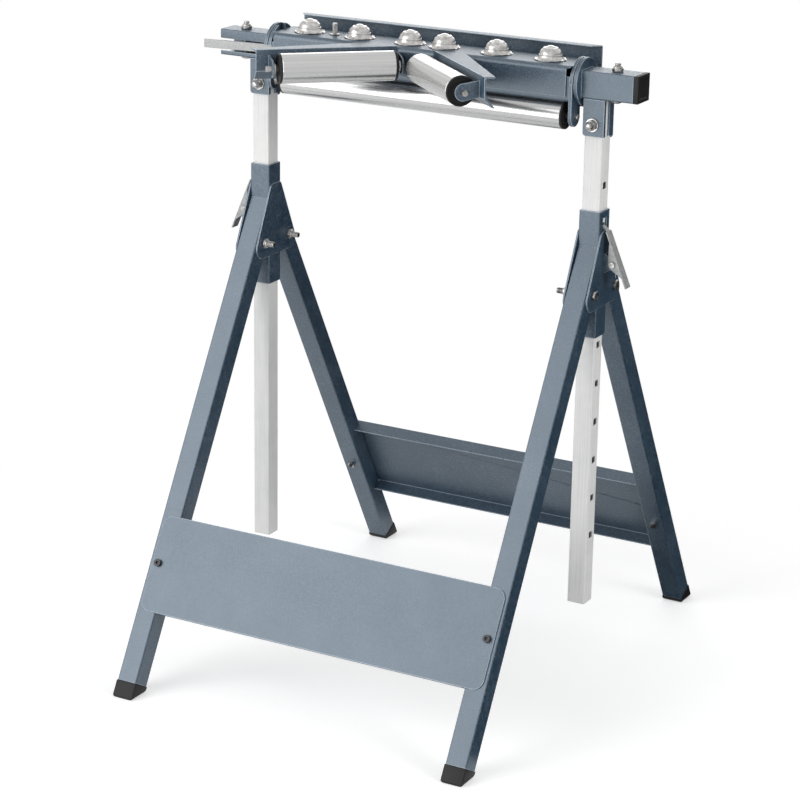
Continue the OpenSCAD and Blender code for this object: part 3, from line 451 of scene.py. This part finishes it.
# %% A form turned about Z
def turned(name, rings, sides=32, bored=False):
    """A closed form from (radius, height) rings in mm; a bored one ends on its first ring, open."""
    (radius, height), others = rings[0], rings[1:]
    bpy.ops.object.select_all(action="DESELECT")
    bpy.ops.mesh.primitive_circle_add(vertices=sides, radius=radius * MM, fill_type="NGON",
                                      location=(0, 0, height * MM))
    piece = bpy.context.object
    piece.name = name
    bpy.ops.object.mode_set(mode="EDIT")
    for next_radius, next_height in others:
        rise = (0, 0, (next_height - height) * MM)
        bpy.ops.mesh.extrude_region_move(TRANSFORM_OT_translate={"value": rise})
        grow = next_radius / radius
        bpy.ops.transform.resize(value=(grow, grow, 1), center_override=(0, 0, next_height * MM))
        radius, height = next_radius, next_height
    if bored:
        bpy.ops.mesh.select_all(action="DESELECT")
        bpy.ops.mesh.select_face_by_sides(number=sides, type="EQUAL")
        bpy.ops.mesh.delete(type="ONLY_FACE")
        bpy.ops.mesh.select_all(action="SELECT")
        bpy.ops.mesh.remove_doubles(threshold=0.000001)
    bpy.ops.mesh.select_all(action="SELECT")
    bpy.ops.mesh.normals_make_consistent(inside=False)
    bpy.ops.object.mode_set(mode="OBJECT")
    return settle(piece)


def rounded(piece, width, degrees=35, segments=2):
    """A small bevel on the piece's sharp edges, then smooth shading between them."""
    only(piece)
    soft = piece.modifiers.new("soft_edges", "BEVEL")
    soft.width = width * MM
    soft.segments = segments
    soft.limit_method = "ANGLE"
    soft.angle_limit = math.radians(degrees)
    bpy.ops.object.modifier_apply(modifier=soft.name)
    return smooth(piece, 40)


def pick(piece, kind, chosen):
    """Opens a piece for editing with only the vertices, edges or polygons that chosen picks."""
    only(piece)
    bpy.ops.object.mode_set(mode="EDIT")
    bpy.ops.mesh.select_all(action="DESELECT")
    bpy.ops.object.mode_set(mode="OBJECT")
    for part in getattr(piece.data, kind):
        part.select = chosen(part)
    bpy.ops.object.mode_set(mode="EDIT")


def set_out(pattern, name, node, finish, places):
    """Copies a pattern to its places; the copies stand for the node and ride on its body."""
    made = copies(pattern, name, places)
    for piece in made:
        dress(smooth(piece, 34), finish)
        stand_for(piece, node)
    return made


print("turning ready")

# %% [markdown]
# The structural bolts are plated hexagon bolts. Only the end past the nut is threaded deep enough to
# see, so the plain shank is one step and the ridges start shortly before the nut. The thread is a row
# of ridges and not a helix, because the two look alike at this size. The arms' bolts have round heads.

# %% Bolts
# Across the flats of the hexagons, and the height of the heads
FLATS, HEAD_H = 13.0, 5.3
# From a post's middle to the outer faces of its cheek plates
CHEEK = 17.8
# The bolts through the posts: their height, and where the head and the nut sit
POST_BOLT_H, POST_HEAD_Y, POST_NUT_Y = ARM_FOOT - 33.7, 15.2, -19.6
# The upright bolts through the arms
ARM_BOLT_XS = (-284.5, 279.0)


def thread(start, end, radius=4.0, depth=0.45):
    """Rings for a screw thread, as a row of ridges."""
    pitch = 1.25
    rings = []
    for turn in range(int((end - start) / pitch)):
        z = start + turn * pitch
        rings += [(radius - depth, z), (radius, z + 0.45 * pitch), (radius, z + 0.6 * pitch)]
    return rings + [(radius - depth, end - 0.3), (radius - depth - 0.5, end)]


def hexagon_bolt(name, shank, threaded):
    """A bolt with its head below z = 0 and its shank going up."""
    corner = FLATS / 2 / math.cos(math.pi / 6)
    profile = [(corner - 2.6, 0.4 - HEAD_H), (corner - 2.9, -HEAD_H), (corner - 1.1, -HEAD_H),
               (corner, 0.9 - HEAD_H), (corner, -0.5), (corner - 0.5, -0.15), (corner - 0.8, 0)]
    head = turned(name + "_head", profile, 6)
    rounded(head, 0.22, 30)
    rod = turned(name, [(3.9, -0.4), (4.0, 0.2)] + thread(shank - threaded, shank), 24)
    return joined(name, rod, smooth(head, 30))


pivot_places = [facing("-x" if s > 0 else "+x", s * (POST_X + CHEEK), y * PIVOT_Y, PIVOT_H)
                for s in (-1, 1) for y in (-1, 1)]
set_out(hexagon_bolt("leg_bolt", 52.6, 21.0), "leg_pivot_bolt", "leg_pivot_bolts", zinc, pivot_places)
post_places = [facing("-y", s * POST_X, POST_HEAD_Y, POST_BOLT_H) for s in (-1, 1)]
set_out(hexagon_bolt("clamp_bolt", 46.3, 14.0), "post_bolt", "post_bolts", zinc, post_places)
dome = [(2.0, -5.3), (4.4, -5.05), (6.4, -4.3), (7.6, -3.2), (8.0, -2.2), (8.0, -0.3), (7.7, 0), (4.0, 0)]
arm_bolt = turned("arm_bolt_pattern", dome + thread(28.0, 47.5), 24)
set_out(arm_bolt, "arm_bolt", "arm_bolts", zinc, [facing("+z", x, 0, ARM_FOOT) for x in ARM_BOLT_XS])
print("made", len(pivot_places) + len(post_places) + len(ARM_BOLT_XS), "bolts")

# %% [markdown]
# Lock nuts have a round collar above the hexagon, which grips the thread through a soft ring. The
# hexagon is turned with six sides, the collar with thirty-two, and both are bored for the bolt. The
# nuts on the rollers' axles are a lower kind. Each V roller has a frame of its own, turned with it.

# %% Lock nuts
# The inner faces of the head's end discs, where the long roller's axle nuts sit
DISC_X = 225.5
# The long roller's axis
LONG_Y, LONG_H = -19.5, 800.6
# The V rollers' middles, and how far out along their axles the nuts sit
V_X, V_FRONT, V_H, V_NUT = 76.5, 106.5, 847, 85.5


def lock_nut(name, high=7.0):
    """A nut on z = 0, with its collar at the top."""
    corner, bore = 7.5, 4.1
    top = high * 0.7
    block = [(bore, 0), (corner - 0.7, 0), (corner, 0.5), (corner, top - 0.6), (corner - 0.9, top),
             (bore, top), (bore, 0)]
    hexagon = turned(name + "_hexagon", block, 6, bored=True)
    rounded(hexagon, 0.2, 30)
    ring = [(bore, top - 0.4), (5.95, top - 0.4), (5.95, high - 0.9), (5.5, high - 0.2), (5.1, high),
            (4.8, high - 0.1), (4.6, high - 0.7), (bore, high - 0.8), (bore, top - 0.4)]
    collar = turned(name, ring, 32, bored=True)
    return joined(name, collar, hexagon)


leg_nuts = [facing("-x" if s > 0 else "+x", s * (POST_X - CHEEK), y * PIVOT_Y, PIVOT_H)
            for s in (-1, 1) for y in (-1, 1)]
set_out(lock_nut("nut"), "leg_pivot_nut", "leg_pivot_nuts", zinc, leg_nuts)
frame_nuts = [facing("-y", s * POST_X, POST_NUT_Y, POST_BOLT_H) for s in (-1, 1)]
frame_nuts += [facing("+z", x, 0, ARM_FOOT + ARM_W) for x in ARM_BOLT_XS]
set_out(lock_nut("nut"), "frame_nut", "post_and_arm_nuts", zinc, frame_nuts)
v_frame = {s: Matrix.Translation(at(s * V_X, -V_FRONT, V_H)) @ Matrix.Rotation(-s * V_ANGLE, 4, "Z")
           for s in (-1, 1)}
to_x = Matrix.Rotation(math.radians(90), 4, "Y")
to_minus_x = Matrix.Rotation(math.radians(-90), 4, "Y")
axle_places = [facing("-x", DISC_X, LONG_Y, LONG_H), facing("+x", -DISC_X, LONG_Y, LONG_H)]
for s in (-1, 1):
    axle_places.append(v_frame[s] @ Matrix.Translation((V_NUT * MM, 0, 0)) @ to_minus_x)
    axle_places.append(v_frame[s] @ Matrix.Translation((-V_NUT * MM, 0, 0)) @ to_x)
set_out(lock_nut("nut", 5.0), "axle_nut", "axle_nuts", zinc, axle_places)
print("made", len(leg_nuts) + len(frame_nuts) + len(axle_places), "nuts")

# %% [markdown]
# A ball castor's housing is pressed from thin sheet: a flange that is a little wavy where it is
# riveted down, a flared skirt, a waist with a pressed line round it, and a dome that closes on the
# ball. The flange gets its waves by pressing its rim in between the four rivets.

# %% Ball castor housings
# The castors' distances from the middle of the stand
CASTOR_XS = (-182.5, -104.0, -26.0, 26.0, 104.0, 182.5)
# The flange's rim is what lies outside this radius and below this height
RIM_R, RIM_H = 20.4, 1.4
# How far a wave is pressed in and up, and how much of a turn it takes to each side
PRESS_IN, PRESS_UP, WAVE_HALF = 0.9 * MM, 0.5 * MM, math.radians(24)
# The circle that the rivets sit on
RIVET_R = 20.0 * MM


def in_wave(vertex, middle):
    """Whether a vertex is on the flange's rim and in the wave about a direction."""
    x, y, z = vertex.co / MM
    turn = math.atan2(y, x) - middle
    near = abs(math.atan2(math.sin(turn), math.cos(turn))) < WAVE_HALF
    return near and math.hypot(x, y) > RIM_R and z < RIM_H


skirt = [(20.6, 0), (21.9, 0.15), (22.0, 0.8), (21.2, 1.3), (19.4, 1.35), (18.2, 1.8), (17.2, 2.7),
         (16.3, 4.0), (15.7, 5.4), (15.5, 6.2), (15.75, 6.7), (15.5, 7.3), (14.9, 7.8), (14.5, 9.2),
         (13.9, 10.8), (12.9, 12.4), (11.6, 13.6), (10.5, 14.3), (10.1, 15.2), (9.4, 15.85), (8.2, 16.0),
         (7.2, 15.5), (7.5, 14.9), (8.4, 13.6), (9.2, 11.0), (9.25, 8.0), (7.8, 5.0), (4.5, 1.6), (0.5, 0.9)]
housing = turned("castor_pattern", skirt, 56)
for quarter in range(4):
    middle = math.radians(45 + 90 * quarter)
    pick(housing, "vertices", lambda vertex: in_wave(vertex, middle))
    press = (-PRESS_IN * math.cos(middle), -PRESS_IN * math.sin(middle), PRESS_UP)
    bpy.ops.transform.translate(value=press)
bpy.ops.object.mode_set(mode="OBJECT")
rivet = [(1.9, 0.9), (1.9, 1.7), (1.5, 2.1), (0.8, 2.35), (0.2, 2.4)]
rivets = copies(turned("rivet_pattern", rivet, 14), "castor_rivet",
                [Matrix.Translation((RIVET_R * math.cos(a), RIVET_R * math.sin(a), 0))
                 for a in (0, math.pi / 2, math.pi, -math.pi / 2)])
housing = joined("castor_pattern", housing, *rivets)
castors = set_out(housing, "castor_housing", "castor_housings", castor_zinc,
                  [facing("+z", x, 0, PLATE_H) for x in CASTOR_XS])
print("made", len(castors), "castor housings of", len(castors[0].data.polygons), "faces")

# %% [markdown]
# The rollers are steel tube with the cut ends rolled in slightly, and each runs on moulded black caps
# with a raised hub. Both are bored, so their profiles end where they began.

# %% Rollers and their caps
# The long roller's radius, half length, and how far its middle is from the stand's
LONG_R, LONG_HALF, LONG_MIDDLE = 18, 211.5, 3.5
# The V rollers' radius and half length
V_R, V_HALF = 20, 76


def roller_tube(name, radius, half):
    """A tube with its middle at z = 0."""
    wall = [(radius - 2, -half + 0.2), (radius - 1.6, -half), (radius - 0.5, -half), (radius, 0.6 - half),
            (radius, half - 0.6), (radius - 0.5, half), (radius - 1.6, half), (radius - 2, half - 0.2),
            (radius - 2, -half + 0.2)]
    return turned(name, wall, 96, bored=True)


def roller_cap(name, radius):
    """A cap on z = 0, with its collar in the tube below it and its hub above."""
    bore, collar = 4.15, radius - 2.15
    profile = [(bore, -9), (collar - 0.6, -9), (collar, -8.2), (collar, 0), (radius - 0.5, 0),
               (radius - 0.1, 0.4), (radius - 0.1, 2.4), (radius - 0.7, 3), (radius - 2.6, 3),
               (radius - 3.4, 2.0), (10.8, 2.0), (10.2, 3.0), (8.4, 3.2), (8.0, 2.5), (7.2, 2.5),
               (6.8, 3.9), (5.0, 3.9), (4.6, 3.2), (bore, 3.0), (bore, -9)]
    return turned(name, profile, 72, bored=True)


set_out(roller_tube("tube", LONG_R, LONG_HALF), "long_roller_tube", "long_roller", ground,
        [facing("+x", LONG_MIDDLE, LONG_Y, LONG_H)])
set_out(roller_cap("cap", LONG_R), "long_roller_cap", "long_roller_caps", black,
        [facing("+x", LONG_MIDDLE + LONG_HALF, LONG_Y, LONG_H),
         facing("-x", LONG_MIDDLE - LONG_HALF, LONG_Y, LONG_H)])
for s, side, finish in ((-1, "left", ground_left), (1, "right", ground_right)):
    set_out(roller_tube("tube", V_R, V_HALF), f"v_roller_{side}_tube", "v_roller_" + side, finish,
            [v_frame[s] @ to_x])
    ends = [v_frame[s] @ Matrix.Translation((V_HALF * MM, 0, 0)) @ to_x,
            v_frame[s] @ Matrix.Translation((-V_HALF * MM, 0, 0)) @ to_minus_x]
    set_out(roller_cap("cap", V_R), f"v_roller_{side}_cap", "v_roller_caps_" + side, black, ends)
print("made 3 rollers and 6 caps")

# %% [markdown]
# The feet are moulded caps cut level with the floor. Each is a block in line with its leg, cut off at
# the floor by a bisect, with a wide round on the sole's edges and a narrow one on the others.

# %% Feet
# How far the legs lean, the length from a pivot to its leg's lower end, and the leg tube's width
LEG_TILT, LEG_DROP, LEG_W = math.radians(29.6), 637.9, 30
# The block's width and length, and the rounds on its sole and on its other edges
FOOT_W, FOOT_L, SOLE_ROUND, FOOT_ROUND = LEG_W + 1.6, 36, 4.2, 1.3


def foot(name, lean):
    """A foot below its leg's end; lean is the leg's tilt, negative for a front leg."""
    bpy.ops.object.select_all(action="DESELECT")
    bpy.ops.mesh.primitive_cube_add(size=1, location=(0, 0, -(LEG_DROP + FOOT_L / 2) * MM))
    piece = bpy.context.object
    piece.name = name
    piece.scale = (FOOT_W * MM, FOOT_W * MM, FOOT_L * MM)
    settle(piece)
    pivot = Vector((0, math.copysign(PIVOT_Y, lean) * MM, PIVOT_H * MM))
    settle(piece, Matrix.Translation(pivot) @ Matrix.Rotation(lean, 4, "X"))
    bpy.ops.object.mode_set(mode="EDIT")
    bpy.ops.mesh.select_all(action="SELECT")
    bpy.ops.mesh.bisect(plane_co=(0, 0, 0), plane_no=(0, 0, 1), use_fill=True, clear_inner=True)
    bpy.ops.object.mode_set(mode="OBJECT")
    corners = piece.data.vertices
    pick(piece, "edges", lambda edge: all(abs(corners[i].co.z) < 0.1 * MM for i in edge.vertices))
    bpy.ops.mesh.bevel(offset=SOLE_ROUND * MM, segments=4, affect="EDGES", clamp_overlap=False)
    bpy.ops.object.mode_set(mode="OBJECT")
    return rounded(piece, FOOT_ROUND, 35, 3)


under_posts = [Matrix.Translation((s * POST_X * MM + SHIFT, 0, 0)) for s in (-1, 1)]
set_out(foot("foot", -LEG_TILT), "front_foot", "front_feet", black, under_posts)
set_out(foot("foot", LEG_TILT), "rear_foot", "rear_feet", black, under_posts)
print("made 4 feet")

# %% [markdown]
# The right arm is closed by a moulded cap. It is a block as wide as the arm, and the shallow recess in
# its outer face is made by one inset for the rim and a second one that goes inwards.

# %% The arm's end cap
# Where the arm ends, and how far the cap stands out of it
ARM_END, CAP_L = 309.5, 7
# The recess: the rim's width, the run of its sloping wall, and its depth
CAP_RIM, CAP_SLOPE, CAP_RECESS = 4.5, 0.8, 1.2

bpy.ops.object.select_all(action="DESELECT")
bpy.ops.mesh.primitive_cube_add(size=1, location=(CAP_L / 2 * MM, 0, 0))
cap = bpy.context.object
cap.scale = (CAP_L * MM, ARM_W * MM, ARM_W * MM)
settle(cap)
pick(cap, "polygons", lambda face: face.normal.x > 0.9)
bpy.ops.mesh.inset(thickness=CAP_RIM * MM, depth=0)
bpy.ops.mesh.inset(thickness=CAP_SLOPE * MM, depth=-CAP_RECESS * MM)
bpy.ops.object.mode_set(mode="OBJECT")
rounded(cap, 1.2, 30, 3)
set_out(cap, "arm_cap", "arm_end_cap", black, [Matrix.Translation(at(ARM_END, 0, AXIS_H))])
print("made the arm's cap")

# %% [markdown]
# Each latch is pressed home by a spring coiled on its pin. A wire's round end is swept by a Screw
# modifier, and its two straight legs go to the bracket and down the lever.

# %% Latch springs
# The latches' pins, from the stand's middle and from the floor
LATCH_X, LATCH_H = 285.5, 606.5
# The wire's radius, and the coil's radius, length, turns and steps to a turn
WIRE_R, COIL_R, COIL_L, COIL_TURNS, COIL_STEPS = 0.6, 3.65, 4.8, 4, 88
# The leg that goes down the lever
LEVER_LEG = 18


def latch_spring(name):
    """A spring about Y, with one leg down and one leg in."""
    bpy.ops.object.select_all(action="DESELECT")
    bpy.ops.mesh.primitive_circle_add(vertices=10, radius=WIRE_R * MM, fill_type="NOTHING",
                                      location=(COIL_R * MM, 0, -COIL_L / 2 * MM),
                                      rotation=(math.pi / 2, 0, 0))
    coil = settle(bpy.context.object)
    sweep = coil.modifiers.new("coil", "SCREW")
    sweep.angle = math.radians(360 * COIL_TURNS)
    sweep.screw_offset = COIL_L * MM
    sweep.steps = sweep.render_steps = COIL_STEPS
    bpy.ops.object.modifier_apply(modifier=sweep.name)
    bpy.ops.object.mode_set(mode="EDIT")
    bpy.ops.mesh.select_all(action="SELECT")
    bpy.ops.mesh.fill_holes(sides=0)
    bpy.ops.mesh.normals_make_consistent(inside=False)
    bpy.ops.object.mode_set(mode="OBJECT")
    settle(coil, Matrix.Rotation(math.radians(90), 4, "X"))
    long_leg = [(0.45, 0), (WIRE_R, 0.2), (WIRE_R, LEVER_LEG - 0.4), (0.4, LEVER_LEG)]
    down = settle(turned("leg", long_leg, 10),
                  Matrix.Translation((COIL_R * MM, -COIL_L / 2 * MM, -LEVER_LEG * MM)))
    short_leg = [(0.45, 0), (WIRE_R, 0.2), (WIRE_R, 10.0), (0.4, 10.3)]
    inward = settle(turned("leg", short_leg, 10),
                    Matrix.Translation((0, COIL_L / 2 * MM, -COIL_R * MM)) @ to_minus_x)
    return joined(name, coil, down, inward)


spring_places = [Matrix.Translation(at(LATCH_X, 0, LATCH_H)),
                 Matrix.Translation(at(-LATCH_X, 0, LATCH_H)) @ Matrix.Rotation(math.pi, 4, "Z")]
set_out(latch_spring("spring"), "latch_spring", "latch_springs", zinc, spring_places)
print("made 2 springs")

# %% [markdown]
# A small threaded stud with a washer stands on the ball plate between two castors. It goes through
# the plate, with a flat head below it, and is one turned form.

# %% The stud
STUD_X = -143.0
stud_profile = [(6.6, -2.5), (6.9, -2.4), (6.9, -0.3), (3.4, -0.2), (3.4, 0.05), (6.4, 0.05),
                (7.0, 0.5), (7.0, 1.3), (6.5, 1.6), (3.5, 1.6)] + thread(2.0, 16.0, 3.5, 0.4)
stud = turned("stud_pattern", stud_profile, 28)
set_out(stud, "stud", "plate_stud", zinc, [facing("+z", STUD_X, 0, PLATE_H)])
print("made the stud")

# %% [markdown]
# ## Camera
# The photograph was taken from the right of the front, a little above, with a long lens. The camera's
# place, turn and lens are fitted to the photograph's vanishing lines, with a very small roll.

# %% Camera
LENS, CAMERA_AT = 115.94, (1.6178 + SHIFT, -3.009, 1.4885)
# Degrees that the camera is turned left, looks down and is rolled
CAMERA_TURN, CAMERA_DOWN, CAMERA_ROLL = 28.75, 18.15, 0.9

camera_data = bpy.data.cameras.new("camera")
camera = bpy.data.objects.new("camera", camera_data)
bpy.context.collection.objects.link(camera)
camera_data.sensor_width = 36
camera_data.lens = LENS
camera_data.clip_end = 60
camera.location = CAMERA_AT
turned_left = Matrix.Rotation(math.radians(CAMERA_TURN), 4, "Z")
look = turned_left @ Matrix.Rotation(math.radians(90 - CAMERA_DOWN), 4, "X")
camera.rotation_euler = (look @ Matrix.Rotation(math.radians(CAMERA_ROLL), 4, "Z")).to_euler()
bpy.context.scene.camera = camera
print("camera at", [round(v, 3) for v in camera.location])

# %% [markdown]
# ## Light
# A wide soft light in front on the left gives the front faces their pale sheen. A second one behind
# is what the level faces mirror, so their tops go pale. A low one in front lifts the panels, and one
# on the right fills the right-hand faces, but isn't mirrored in them.

# %% Soft studio light
def soft_light(name, place, target, size, watts, mirrored=True):
    """A rectangular light at a place, aimed at a target."""
    data = bpy.data.lights.new(name, "AREA")
    data.shape = "RECTANGLE"
    data.size, data.size_y = size
    data.energy = watts
    lamp = bpy.data.objects.new(name, data)
    bpy.context.collection.objects.link(lamp)
    lamp.location = place
    lamp.rotation_euler = (Vector(target) - Vector(place)).to_track_quat("-Z", "Y").to_euler()
    lamp.visible_glossy = mirrored
    return lamp


soft_light("key", (-1.8, -2.6, 1.9), (0, 0, 0.45), (2.4, 2.4), 58)
soft_light("tops", (-1.3, 2.9, 1.9), (0, 0, 0.8), (2.6, 1.0), 26)
soft_light("low_front", (-0.9, -3.0, 0.35), (0, 0, 0.5), (2.0, 0.7), 20)
soft_light("right_fill", (3.2, -0.6, 1.2), (0, 0, 0.5), (1.6, 1.6), 52, mirrored=False)

# %% [markdown]
# The background is plain white, to the camera and in every reflection, but it lights surfaces only
# weakly, so that the soft lights can shape them. The Light Path node tells the two apart.

# %% World
# How strongly the world lights surfaces; it is 1 wherever it is seen
WORLD_LIGHT = 0.38


def seen_directly(graph, links):
    """1 for rays from the camera, in a reflection or through glass; 0 for the light on surfaces."""
    path = graph.new("ShaderNodeLightPath")
    value = path.outputs["Is Camera Ray"]
    for other in ("Is Glossy Ray", "Is Transmission Ray"):
        value = maths(graph, links, "MAXIMUM", value, path.outputs[other])
    return value


world = bpy.data.worlds.new("white_studio")
bpy.context.scene.world = world
world.use_nodes = True
sky, sky_links = world.node_tree.nodes, world.node_tree.links
level = sky.new("ShaderNodeMapRange")
level.inputs["To Min"].default_value = WORLD_LIGHT
level.inputs["To Max"].default_value = 1.0
sky_links.new(seen_directly(sky, sky_links), level.inputs["Value"])
sky_links.new(level.outputs["Result"], sky["Background"].inputs["Strength"])
sky["Background"].inputs["Color"].default_value = (1, 1, 1, 1)
print("made", world.name)

# %% [markdown]
# The floor is a matt disc that takes the stand's shadow. Where it is seen it also glows a little, so
# that it comes out white, and away from the stand it fades into plain white light with no edge.

# %% Floor
# How much the seen floor is lifted, and the radii in metres between which it fades to plain white
FLOOR_LIFT, FADE_FROM, FADE_TO = 0.42, 0.55, 1.0


def make_floor():
    """White near the stand, where it takes a shadow, and plain white light further out."""
    mat, graph, links, shader = new_material("white_floor")
    graph.remove(shader)
    direct = seen_directly(graph, links)
    body = graph.new("ShaderNodeBsdfDiffuse")
    body.inputs["Color"].default_value = (0.82, 0.82, 0.82, 1)
    glow = graph.new("ShaderNodeEmission")
    links.new(maths(graph, links, "MULTIPLY", direct, FLOOR_LIFT), glow.inputs["Strength"])
    both = graph.new("ShaderNodeAddShader")
    links.new(body.outputs[0], both.inputs[0])
    links.new(glow.outputs[0], both.inputs[1])
    coord = graph.new("ShaderNodeTexCoord")
    reach = graph.new("ShaderNodeVectorMath")
    reach.operation = "LENGTH"
    links.new(coord.outputs["Object"], reach.inputs[0])
    fade = graph.new("ShaderNodeMapRange")
    fade.interpolation_type = "SMOOTHSTEP"
    fade.inputs["From Min"].default_value = FADE_FROM
    fade.inputs["From Max"].default_value = FADE_TO
    links.new(reach.outputs["Value"], fade.inputs["Value"])
    white = graph.new("ShaderNodeEmission")
    out = graph.new("ShaderNodeMixShader")
    links.new(maths(graph, links, "MULTIPLY", fade.outputs["Result"], direct), out.inputs["Fac"])
    links.new(both.outputs[0], out.inputs[1])
    links.new(white.outputs[0], out.inputs[2])
    links.new(out.outputs[0], graph["Material Output"].inputs["Surface"])
    return mat


bpy.ops.object.select_all(action="DESELECT")
bpy.ops.mesh.primitive_circle_add(vertices=64, radius=20, fill_type="NGON", location=(0, 0, 0))
floor = bpy.context.object
floor.name = "floor"
dress(floor, make_floor())
print("made the floor")

# %% [markdown]
# Gloss shows what it faces, so in an all-white studio the right-hand faces would be pale. Four dark
# cards lie and stand behind and on the right, where only gloss sees them. The faces that mirror them
# fall back to navy, and the cards neither show nor throw a shadow.

# %% Dark cards
def dark_card(name, place, size, turn=(0, 0, 0)):
    """A matt card that only gloss sees."""
    bpy.ops.object.select_all(action="DESELECT")
    bpy.ops.mesh.primitive_plane_add(size=1, location=place, rotation=turn)
    card = bpy.context.object
    card.name = name
    card.scale = (size[0], size[1], 1)
    settle(card)
    mat, graph, links, shader = new_material("matt_" + name)
    feed(graph, links, noise(graph, links, 8), [(0.3, 0.02), (0.7, 0.03)], shader.inputs["Base Color"])
    shader.inputs["Roughness"].default_value = 1.0
    shader.inputs["Specular IOR Level"].default_value = 0.0
    card.visible_camera = card.visible_diffuse = card.visible_shadow = False
    dress(card, mat)


dark_card("card_behind", (1.35, 2.3, 0.004), (3.4, 3.76))
dark_card("card_beside", (1.58, 0.06, 0.004), (2.8, 0.72))
dark_card("card_right", (2.5, 0.8, 0.75), (3.4, 1.5), (math.pi / 2, 0, math.radians(90)))
dark_card("card_upright", (1.9, 2.9, 0.75), (3.4, 1.5), (math.pi / 2, 0, math.radians(-30)))
bpy.context.scene.view_settings.view_transform = "Standard"
print("placed 4 dark cards")
